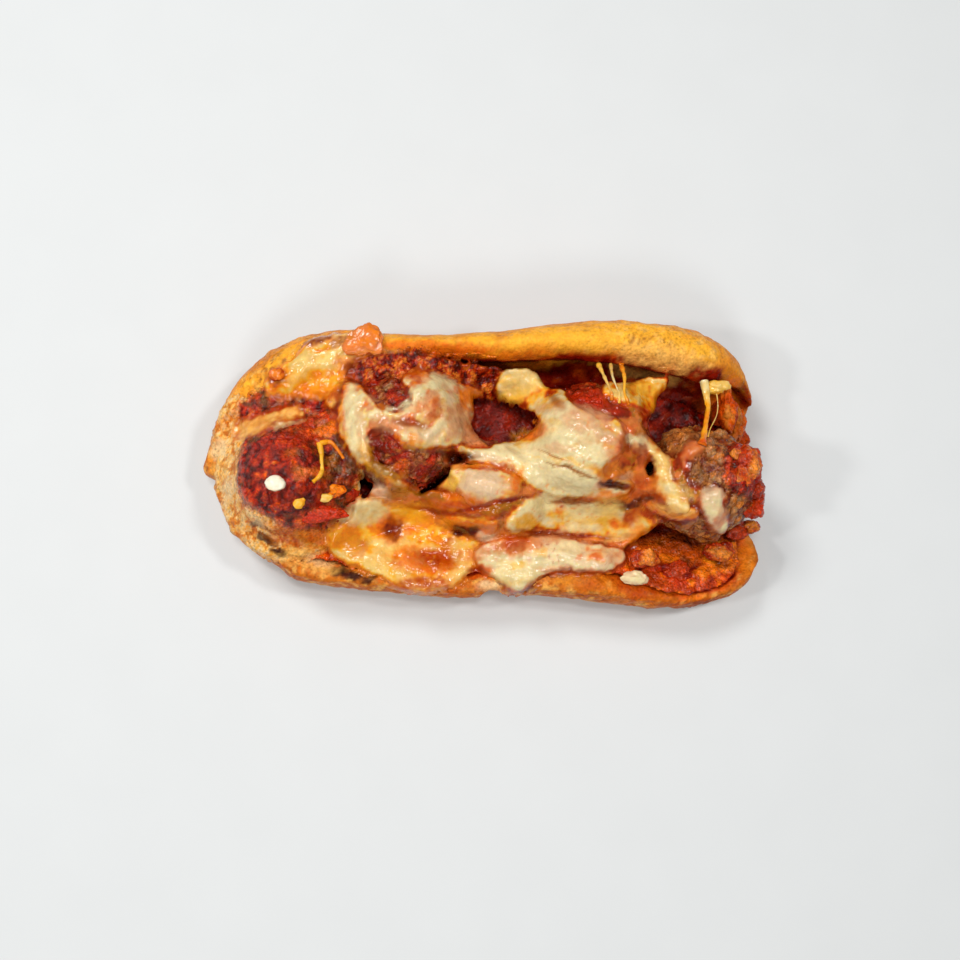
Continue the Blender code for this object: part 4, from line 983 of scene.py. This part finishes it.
    laid = np.zeros(ground.z.size)
    laid[used] = points[:count, 2]
    shades = np.zeros((ground.z.size, 3))
    shades[used] = colours[:count]
    laid = laid.reshape(ground.z.shape)
    ground.lay(laid > ground.z, laid, shades.reshape(ground.colours.shape))
    return finish_piece(made, colours, gloss, np.ones(len(points)), material, nodes)


# Painted shade: how much darker the valleys and the creases get
VALLEY_SHADE_TINT = (0.88, 0.68, 0.45)
CREASE_SHADE_TINT = (0.5, 0.24, 0.1)


def eased_rim(points, ring, rounds):
    """The points with their outline smoothed sideways."""
    for _ in range(rounds):
        sums = np.zeros((len(points), 2))
        count = np.zeros(len(points))
        for a, b in ((ring[:, 0], ring[:, 1]), (ring[:, 1], ring[:, 0])):
            np.add.at(sums, a, points[b, :2])
            np.add.at(count, a, 1)
        rim = count > 0
        points[rim, :2] += 0.5 * (sums[rim] / count[rim, None] - points[rim, :2])
    return points


def rim_edges(quads):
    """The directed edges that only one face has."""
    ahead = np.vstack([quads[:, [0, 1]], quads[:, [1, 2]], quads[:, [2, 3]], quads[:, [3, 0]]])
    span = quads.max() + 1
    keys = ahead[:, 0] * span + ahead[:, 1]
    back = ahead[:, 1] * span + ahead[:, 0]
    return ahead[~np.isin(keys, back)]


# How far the front corner of the closed end draws in
CORNER_MOVE = (4.5, 2.3)


def make_roll(material):
    """The bread roll: wrinkled golden crust outside, and sauce-soaked bread inside, deepened in the hollow with painted
    shade.
    """
    made = fine_copy("roll", ROLL_VOXEL, 14, "bread_roll")
    mesh = made.data
    points, edges = read_points(mesh), read_edges(mesh)
    normals = read_normals(mesh)
    # How hidden each point is: it finds the hollow, where the bread is soaked and also darkened as painted shade
    inner = hidden_share(points, normals, edges)
    floor = smoothstep(points[:, 2], 0.8, 5)
    right = smoothstep(points[:, 0], 30, 60) * smoothstep(points[:, 0], 95, 80)
    low_front = 0.8 * smoothstep(points[:, 1], -30, -40)
    rough = 0.35 + 0.65 * np.maximum(np.maximum(smoothstep(points[:, 0], -45, -75), right), low_front)
    wrinkles = 0.8 * layered(points, 12, 50) + 0.4 * noise(points, 3.4, 53) * rough
    nearest, _, _ = grains(points + 1.2 * noise(points, 3, 54)[:, None], 2.4, 55)
    pits = smoothstep(nearest, 0.5, 0.15) * smoothstep(noise(points, 12, 56), -0.45, 0.2) * rough
    points += normals * ((wrinkles - 0.45 * pits) * floor)[:, None]
    corner = smoothstep(points[:, 0], -68, -88) * smoothstep(points[:, 1], -3, -9)
    points[:, :2] += corner[:, None] * np.array(CORNER_MOVE)
    points[:, 2] = np.maximum(points[:, 2], 0)
    write_points(mesh, points)

    normals = read_normals(mesh)
    mottle = 0.2 * layered(points, 9, 60) + 0.14 * noise(points, 2.4, 63)
    height = points[:, 2] / 42 + mottle
    colours = ramp(np.clip(height, 0, 1), ("pale_base", "tan", "tan", "gold", "crown"))
    brown = smoothstep(layered(points, 12, 65), 0.0, 0.55)
    colours = mix(colours, linear("tan"), 0.65 * brown)
    front = smoothstep(points[:, 1], -25, -40)
    colours = mix(colours, linear("caramel"), 0.6 * front)
    edge = smoothstep(normals[:, 2], 0.8, 0.2) * smoothstep(points[:, 2], 8, 20)
    colours = mix(colours, linear("rust"), 0.3 * edge * np.clip(0.8 + noise(points, 5, 66), 0, 1))
    stained = smoothstep(layered(points, 5, 73), 0.1, 0.6) * smoothstep(points[:, 2], 10, 20)
    colours = mix(colours, linear("rust"), 0.45 * stained * (0.3 + 0.7 * front))
    bright = smoothstep(layered(points, 7, 74), 0.15, 0.6) * front
    colours = mix(colours, linear("gold"), 0.5 * bright)
    pale = smoothstep(noise(points, 2.6, 67), 0.05, 0.5) * rough
    colours = mix(colours, linear("straw"), 0.75 * pale)
    colours = mix(colours, linear("toast"), 0.7 * pits)
    closed_end = smoothstep(points[:, 0], -84, -94)
    stain = smoothstep(inner + 0.22 * noise(points, 5, 68), 0.1, 0.4)
    # Soaked bread, deepest where most hidden: partly sauce and partly painted shade in the hollow and on the back
    # wall's inward faces under the lip
    soaked = smoothstep(inner + 0.22 * noise(points, 6, 69), 0.38, 0.7) * (1 - 0.5 * closed_end)
    faces_in = smoothstep(-normals[:, 1], 0.1, 0.5) * smoothstep(points[:, 1], 22, 28) * smoothstep(points[:, 2], 44, 38)
    soaked = np.maximum(soaked, faces_in * smoothstep(points[:, 0], -70, -60))
    colours = mix(colours, linear("orange"), 0.8 * stain * (1 - closed_end))
    colours = mix(colours, linear("straw"), 0.5 * stain * closed_end)
    inside = ramp(np.clip(0.45 + 0.8 * layered(points, 5, 70), 0, 1), ("deep", "sauce", "sauce", "rust", "orange"))
    colours = mix(colours, inside, soaked)
    colours = apply_marks(colours, points, normals[:, 2], CRUST_MARKS, 71)
    gloss = 0.25 + 0.7 * soaked + 0.25 * noise(points, 4, 72)
    return finish_piece(made, colours, gloss, 0.25 + 0.6 * rough, material, ["roll"])


def hidden_share(points, normals, edges):
    """How much of each point's outlook other parts of the sandwich block, smoothed along the surface."""
    corners, faces = [], []
    for node in ("roll", "sauce", *[ball[0] for ball in MEATBALLS]):
        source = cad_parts[node].data
        start = len(corners)
        corners += read_points(source).tolist()
        faces += [[start + v for v in p.vertices] for p in source.polygons]
    tree = BVHTree.FromPolygons(corners, faces)
    leans = [Vector(lean) for lean in ((0, 0, 0), (0.8, 0, 0), (-0.8, 0, 0), (0, 0.8, 0), (0, -0.8, 0))]
    blocked = np.zeros(len(points))
    for k in range(0, len(points)):
        normal = Vector(normals[k])
        start = Vector(points[k]) + normal * 1.5
        hits = sum(1 for lean in leans if tree.ray_cast(start, normal + lean, 90)[0] is not None)
        blocked[k] = hits / len(leans)
    for _ in range(10):
        blocked = spread(blocked, edges)
    return blocked


# How much steeper a face may be that still takes the marks on the meat
SIDEWAYS = 0.35


def make_ball(node, saucy, rough, seed, material):
    """A meatball of packed grains of meat, with sauce over part of it."""
    made = fine_copy(node, BALL_VOXEL, 6, node + "_meat")
    mesh = made.data
    points, normals = read_points(mesh), read_normals(mesh)
    swirl = np.stack([noise(points, 4.5, seed + 20 + k) for k in range(3)], 1) * 1.8
    nearest, second, number = grains(points + swirl, 3.6, seed)
    small, small_second, small_number = grains(points + swirl, 1.7, seed + 1)
    bumps = 1.9 * (0.6 - nearest) + 0.8 * (0.6 - small) + rough * layered(points, 13, seed + 2)
    points += normals * bumps[:, None]
    write_points(mesh, points)
    normals = read_normals(mesh)
    tone = 0.55 * number + 0.45 * small_number
    colours = ramp(tone, ("deep", "toast", "meat", "meat_light", "grey_meat", "tan", "meat"))
    # Painted shade: dark in the crevices between grains and in the sunk hollows of the bumps
    crevice = np.maximum(smoothstep(second - nearest, 0.2, 0.0), 0.7 * smoothstep(small_second - small, 0.2, 0.0))
    hollow = smoothstep(bumps, 0.2, -1.0)
    colours = mix(colours, linear("deep"), 0.6 * np.maximum(crevice, hollow))
    cover = smoothstep(layered(points, 7, seed + 5) + 1.6 * saucy - 0.8, -0.15, 0.25)
    # The sauce's tone, a little lighter on raised bumps and darker in sunk ones as painted light and shade
    shade = 0.42 + 0.6 * layered(points, 4, seed + 7) + 0.28 * noise(points, 1.6, seed + 8) + 0.12 * bumps
    sauce = ramp(np.clip(shade, 0, 1), ("deep", "deep", "sauce", "sauce", "scarlet", "rust", "tan"))
    colours = mix(colours, sauce, 0.92 * cover)
    # Painted shade: darker towards the bottom of the ball
    low = smoothstep(points[:, 2], 32, 20)
    colours = mix(colours, linear("deep"), 0.6 * low)
    colours = apply_marks(colours, points, normals[:, 2] + SIDEWAYS, MEAT_MARKS, seed + 9)
    gloss = 0.4 + 0.6 * cover + 0.3 * noise(points, 3, seed + 10)
    return finish_piece(made, colours, gloss, np.ones(len(points)), material, [node])


def make_sauce(material):
    """The sauce that lines the hollow, lumpy with tomato."""
    made = fine_copy("sauce", SAUCE_VOXEL, 5, "sauce_bed")
    mesh = made.data
    points, normals = read_points(mesh), read_normals(mesh)
    swirl = np.stack([noise(points, 4.5, 76 + k) for k in range(3)], 1) * 1.8
    nearest, _, number = grains(points + swirl, 3.4, 80)
    bumps = 1.4 * (0.6 - nearest) + 1.3 * layered(points, 7, 81)
    points += normals * (bumps * smoothstep(normals[:, 2], -0.2, 0.3))[:, None]
    write_points(mesh, points)
    normals = read_normals(mesh)
    shade = 0.3 + 0.6 * layered(points, 5, 85) + 0.3 * number + 0.2 * noise(points, 1.8, 86)
    colours = ramp(np.clip(shade, 0, 1), ("deep", "deep", "sauce", "sauce", "scarlet", "rust"))
    flap = smoothstep(points[:, 1], -22, -36)
    soaked = ramp(np.clip(shade + 0.1, 0, 1), ("deep", "sauce", "rust", "rust", "orange", "amber"))
    colours = mix(colours, soaked, flap)
    colours = apply_marks(colours, points, normals[:, 2], SAUCE_MARKS, 88)
    gloss = 0.8 + 0.3 * noise(points, 3, 89)
    return finish_piece(made, colours, gloss, np.ones(len(points)), material, ["sauce"])


def make_string(name, points, widths, names, material, ground):
    """A string of cheese: a thin uneven tube along a smooth curve through the points."""
    given = np.array(points, float)
    padded = np.vstack([2 * given[0] - given[1], given, 2 * given[-1] - given[-2]])
    steps, sides = 14, 10
    line = []
    for k in range(len(given) - 1):
        before, a, b, after = padded[k:k + 4]
        for t in np.linspace(0, 1, steps, endpoint=False):
            line.append(0.5 * (2 * a + (b - before) * t + (2 * before - 5 * a + 4 * b - after) * t**2
                               + (3 * a - before - 3 * b + after) * t**3))
    line.append(given[-1])
    line = np.array(line)
    run = np.linspace(0, 1, len(line))
    line[:, 2] = np.maximum(line[:, 2], ground.height(line) + 0.15 * np.interp(run, (0, 0.5, 1), widths))
    line[1:-1] = (line[:-2] + 2 * line[1:-1] + line[2:]) / 4
    ahead = np.gradient(line, axis=0)
    ahead /= np.linalg.norm(ahead, axis=1)[:, None]
    side = np.cross(ahead, (0.3, 0.2, 0.93))
    side /= np.linalg.norm(side, axis=1)[:, None]
    other = np.cross(ahead, side)
    radius = np.interp(run, (0, 0.5, 1), widths) / 2 * (1 + 0.35 * noise(line, 2.5, 61))
    angles = np.linspace(0, 2 * math.pi, sides, endpoint=False)
    rings = [
        line[k] + radius[k] * (np.outer(np.cos(angles), side[k]) + np.outer(np.sin(angles), other[k]))
        for k in range(len(line))
    ]
    corners = np.vstack([*rings, line[:1], line[-1:]])
    faces = []
    for k in range(len(line) - 1):
        for j in range(sides):
            right = (j + 1) % sides
            faces.append((k * sides + j, k * sides + right, (k + 1) * sides + right, (k + 1) * sides + j))
    last = len(line) * sides
    for j in range(sides):
        right = (j + 1) % sides
        faces.append((last, right, j))
        faces.append((last + 1, last - sides + j, last - sides + right))
    mesh = bpy.data.meshes.new(name)
    mesh.from_pydata((corners * MM).tolist(), [], faces)
    made = bpy.data.objects.new(name, mesh)
    bpy.context.scene.collection.objects.link(made)
    place = np.concatenate([np.repeat(run, sides), [0, 1]])
    colours = ramp(np.clip(place + 0.2 * noise(corners, 1.5, 62), 0, 1), names)
    ones = np.ones(len(corners))
    return finish_piece(made, colours, 0.7 * ones, ones, material, [])


# Half size from which a lump gets the finer mesh
LARGE_LUMP = 5.0


def make_lump(name, centre, half, names, material, slot, seed, ground):
    """A small rough lump of tomato, cheese or burnt crust."""
    shape = bmesh.new()
    bmesh.ops.create_icosphere(shape, subdivisions=5 if max(half) > LARGE_LUMP else 4, radius=1)
    mesh = bpy.data.meshes.new(name)
    shape.to_mesh(mesh)
    shape.free()
    unit = read_points(mesh) * MM
    size = np.array(half, float)
    mean = size.mean()
    middle = np.array(centre, float)
    if slot != "crust":
        middle[2] = max(middle[2], ground.height(middle[None])[0] + 0.9 - 0.55 * size[2])
    bumps = 0.34 * noise(unit * mean, mean * 1.1, seed) + 0.16 * noise(unit * mean, mean * 0.45, seed + 3)
    bumps += 0.1 * noise(unit * mean, 1.0, seed + 6)
    points = middle + unit * size * (1 + bumps)[:, None]
    write_points(mesh, points)
    made = bpy.data.objects.new(name, mesh)
    bpy.context.scene.collection.objects.link(made)
    # Darker towards the bottom and lighter on top: painted shade below and painted light on top, with uneven tone
    height = 0.5 + 0.45 * unit[:, 2] + 0.4 * layered(points, mean, seed + 5) + 0.6 * bumps
    colours = ramp(np.clip(height, 0, 1), names)
    ones = np.ones(len(points))
    return finish_piece(made, colours, 0.8 * ones, ones, material, [])


def make_strand(material):
    """The strand that hangs in front of the back right meatball: white above, orange below."""
    made = fine_copy("cheese_strand", BIT_VOXEL, 6, "cheese_strand_melted")
    mesh = made.data
    points, normals = read_points(mesh), read_normals(mesh)
    points += normals * (0.3 * layered(points, 2.2, 98) - 0.35)[:, None]
    write_points(mesh, points)
    low, high = points[:, 1].min(), points[:, 1].max()
    place = (points[:, 1] - low) / (high - low) + 0.12 * noise(points, 2, 99)
    colours = ramp(np.clip(place, 0, 1), ("orange", "yellow", "amber", "yellow", "cream", "ivory"))
    ones = np.ones(len(points))
    return finish_piece(made, colours, 0.8 * ones, ones, material, ["cheese_strand"])


def make_bit(node, names, seed, material):
    """A small rough piece of tomato or garlic."""
    made = fine_copy(node, BIT_VOXEL, 6, node + "_flesh")
    mesh = made.data
    points, normals = read_points(mesh), read_normals(mesh)
    points += normals * (0.35 * layered(points, 2.2, seed))[:, None]
    write_points(mesh, points)
    colours = ramp(np.clip(0.5 + 0.7 * layered(points, 3, seed + 4), 0, 1), names)
    ones = np.ones(len(points))
    return finish_piece(made, colours, 0.8 * ones, ones, material, [node])


def add_node(tree, kind, **settings):
    node = tree.nodes.new(kind)
    for name, value in settings.items():
        if hasattr(node, name):
            setattr(node, name, value)
        else:
            node.inputs[name.replace("_", " ")].default_value = value
    return node


def speckle(tree, coordinates, size, low, high, detail=3.0):
    """Noise of the given size in millimetres, as a number from low to high."""
    texture = add_node(tree, "ShaderNodeTexNoise", Scale=1 / (size * MM), Detail=detail)
    tree.links.new(coordinates, texture.inputs["Vector"])
    span = add_node(tree, "ShaderNodeMapRange", From_Min=0.3, From_Max=0.7, To_Min=low, To_Max=high)
    tree.links.new(texture.outputs["Fac"], span.inputs["Value"])
    return span.outputs["Result"]


def painted(name, spots, rough, bumps, specular=0.5, pits=None, under=0.0, under_radius=None):
    """A material that takes its colour from the painted mesh, and adds fine speckle, wetness and bumps.

    spots: speckle's size, darkest and lightest. rough: dry and wet roughness, and their unevenness.
    bumps: size and depth in millimetres. pits: size and darkness.
    """
    material = bpy.data.materials.new(name)
    material.use_nodes = True
    tree = material.node_tree
    shader = tree.nodes["Principled BSDF"]
    place = add_node(tree, "ShaderNodeTexCoord").outputs["Object"]
    fleck = add_node(tree, "ShaderNodeAttribute", attribute_name="Fleck").outputs["Fac"]
    colour = add_node(tree, "ShaderNodeAttribute", attribute_name="Tone").outputs["Color"]
    values = [speckle(tree, place, size, dark, light) for size, dark, light in spots]
    if pits:
        values.append(dots(tree, place, *pits))
    for level in values:
        value = add_node(tree, "ShaderNodeHueSaturation")
        tree.links.new(level, value.inputs["Value"])
        tree.links.new(fleck, value.inputs["Fac"])
        tree.links.new(colour, value.inputs["Color"])
        colour = value.outputs["Color"]
    tree.links.new(colour, shader.inputs["Base Color"])

    dry, wet, uneven = rough
    wetness = add_node(tree, "ShaderNodeAttribute", attribute_name="Wet").outputs["Fac"]
    span = add_node(tree, "ShaderNodeMapRange", To_Min=dry, To_Max=wet)
    tree.links.new(wetness, span.inputs["Value"])
    total = add_node(tree, "ShaderNodeMath", operation="ADD", use_clamp=True)
    tree.links.new(span.outputs["Result"], total.inputs[0])
    tree.links.new(speckle(tree, place, 1.1, -uneven, uneven), total.inputs[1])
    tree.links.new(total.outputs["Value"], shader.inputs["Roughness"])

    normal = None
    for size, depth in bumps:
        bump = add_node(tree, "ShaderNodeBump", Strength=1.0, Distance=depth * MM)
        tree.links.new(speckle(tree, place, size, 0.0, 1.0, 2.0), bump.inputs["Height"])
        if normal:
            tree.links.new(normal, bump.inputs["Normal"])
        normal = bump.outputs["Normal"]
    tree.links.new(normal, shader.inputs["Normal"])
    shader.inputs["Specular IOR Level"].default_value = specular
    if under:
        shader.inputs["Subsurface Weight"].default_value = under
        shader.inputs["Subsurface Radius"].default_value = under_radius
        shader.inputs["Subsurface Scale"].default_value = MM
    return material


def dots(tree, coordinates, size, dark):
    """Small dark dots of the given spacing in millimetres, as a number from dark to 1."""
    texture = add_node(tree, "ShaderNodeTexVoronoi", Scale=1 / (size * MM))
    tree.links.new(coordinates, texture.inputs["Vector"])
    span = add_node(tree, "ShaderNodeMapRange", From_Min=0.12, From_Max=0.4, To_Min=dark, To_Max=1.0)
    tree.links.new(texture.outputs["Distance"], span.inputs["Value"])
    return span.outputs["Result"]


# The photograph's camera
IMAGE_SIZE = 960
FOCAL_PIXELS = 1030.0
SENSOR = 36.0
LEAN_X, LEAN_Y = math.radians(1.2), math.radians(6.3)
CAMERA_TARGET = Vector((-1.25, -5.8, 20.0))
CAMERA_DISTANCE = 397.0



def add_camera():
    """A camera above the sandwich, leaning as the photographer's does."""
    across, forward = math.sin(LEAN_X), math.sin(LEAN_Y)
    view = Vector((across, forward, -math.sqrt(1 - across**2 - forward**2)))
    right = view.cross(Vector((0, 1, 0))).normalized()
    up = right.cross(view)
    data = bpy.data.cameras.new("camera")
    data.sensor_width = SENSOR
    data.lens = FOCAL_PIXELS / IMAGE_SIZE * SENSOR
    data.clip_start, data.clip_end = 0.01, 20
    camera = bpy.data.objects.new("camera", data)
    turn = Matrix((right, up, -view)).transposed()
    place = (CAMERA_TARGET - view * CAMERA_DISTANCE) * MM
    camera.matrix_world = Matrix.Translation(place) @ turn.to_4x4()
    bpy.context.scene.collection.objects.link(camera)
    bpy.context.scene.camera = camera


def add_light(name, place, target, size, power):
    data = bpy.data.lights.new(name, "AREA")
    data.shape = "DISK"
    data.size = size
    data.energy = power
    light = bpy.data.objects.new(name, data)
    light.location = place
    light.rotation_euler = (Vector(target) - Vector(place)).to_track_quat("-Z", "Y").to_euler()
    bpy.context.scene.collection.objects.link(light)


def add_studio():
    """A pale floor and soft light from above."""
    mesh = bpy.data.meshes.new("floor")
    half = 3.0
    mesh.from_pydata([(-half, -half, 0), (half, -half, 0), (half, half, 0), (-half, half, 0)], [], [(0, 1, 2, 3)])
    floor = bpy.data.objects.new("floor", mesh)
    floor.location.z = -0.0001
    bpy.context.scene.collection.objects.link(floor)
    material = bpy.data.materials.new("pale_floor")
    material.use_nodes = True
    tree = material.node_tree
    shader = tree.nodes["Principled BSDF"]
    place = add_node(tree, "ShaderNodeTexCoord").outputs["Object"]
    value = add_node(tree, "ShaderNodeHueSaturation", Color=(0.70, 0.712, 0.707, 1))
    tree.links.new(speckle(tree, place, 30, 0.985, 1.0), value.inputs["Value"])
    tree.links.new(value.outputs["Color"], shader.inputs["Base Color"])
    shader.inputs["Roughness"].default_value = 0.8
    shader.inputs["Specular IOR Level"].default_value = 0.2
    mesh.materials.append(material)

    world = bpy.data.worlds.new("studio")
    world.use_nodes = True
    world.node_tree.nodes["Background"].inputs["Color"].default_value = (0.97, 0.985, 1.0, 1)
    world.node_tree.nodes["Background"].inputs["Strength"].default_value = 0.19
    bpy.context.scene.world = world
    add_light("window", (-0.45, 0.5, 0.9), (0, 0, 0), 0.3, 4.7)
    add_light("lamp", (0.45, 0.15, 0.9), (0, 0, 0), 0.12, 2.25)
    add_light("front", (-0.1, -0.7, 0.85), (0, 0, 0), 0.3, 2.6)
    add_light("above", (0.05, 0.1, 1.2), (0, 0, 0), 0.14, 3.1)
    add_light("side", (-0.6, -0.1, 0.7), (0, 0, 0), 0.1, 1.65)
    bpy.context.scene.view_settings.view_transform = "Standard"
    bpy.context.scene.view_settings.look = "None"


def main():
    crust = painted(
        "baked_crust", ((0.9, 0.74, 1.16), (2.8, 0.82, 1.12)), (0.5, 0.22, 0.06), ((0.9, 0.1), (2.4, 0.3)), 0.1, (1.6, 0.7)
    )
    meat = painted(
        "browned_meat", ((0.8, 0.65, 1.4), (2.0, 0.75, 1.2)), (0.26, 0.1, 0.04), ((0.9, 0.14), (2.0, 0.4)), 0.27
    )
    sauce = painted(
        "tomato_sauce", ((0.8, 0.6, 1.45), (2.2, 0.75, 1.25)), (0.18, 0.09, 0.04), ((0.9, 0.16), (1.9, 0.45)), 0.27
    )
    tomato = painted("tomato_flesh", ((0.9, 0.7, 1.25),), (0.2, 0.1, 0.04), ((1.2, 0.25),), 0.3)
    garlic = painted(
        "garlic_flesh", ((0.9, 0.93, 1.03),), (0.35, 0.2, 0.05), ((0.9, 0.05),), 0.4, None, 0.3, (2.0, 1.4, 0.8)
    )
    cheese = painted(
        "melted_cheese", ((1.6, 0.93, 1.05), (4.0, 0.86, 1.06)), (0.28, 0.12, 0.05), ((1.6, 0.03), (3.6, 0.22)), 0.38, None,
        0.18, (2.0, 1.0, 0.4)
    )

    roll = make_roll(crust)
    bed = make_sauce(sauce)
    laid = [roll, bed]
    for node, saucy, rough, seed in MEATBALLS:
        laid.append(make_ball(node, saucy, rough, seed, meat))
    kinds = {"cheese": cheese, "sauce": sauce, "crust": crust}
    ground = Ground()
    for piece in laid:
        ground.add(piece.data)
    for name, spots, names, grit, kind, seed in FILLS:
        marks = CRUST_MARKS if kind == "crust" else MEAT_MARKS
        lay_film(name, spots, names, 20, seed, ground, marks, kinds[kind], 0.2, grit)
    red = ("sauce", "scarlet", "rust", "orange")
    for node, seed in (("tomato_chunk_left", 90), ("tomato_chunk_front", 92), ("tomato_chunk_corner", 94)):
        ground.add(make_bit(node, red, seed, tomato).data)
    for node, direction, seed in SAUCE_COVERS:
        lay_sheet(node, RED_SAUCE, direction, seed, ground, MEAT_MARKS, sauce, "sauce", 1.0)
    ground.add(make_bit("garlic_piece", ("crumb", "garlic", "garlic"), 96, garlic).data)
    lay_bridge(ground, cheese)
    for name, spots, names, direction, seed in FILMS:
        lay_film(name, spots, names, direction, seed, ground, CHEESE_MARKS, cheese)
    for node, names, direction, seed in CHEESES:
        lay_sheet(node, names, direction, seed, ground, CHEESE_MARKS, cheese, "cheese")
    make_strand(cheese)
    for name, points, widths, names in STRINGS:
        make_string(name, points, widths, names, cheese, ground)
    for name, centre, half, names, kind, seed in LUMPS:
        make_lump(name, centre, half, names, kinds[kind], kind, seed, ground)
    add_camera()
    add_studio()


main()
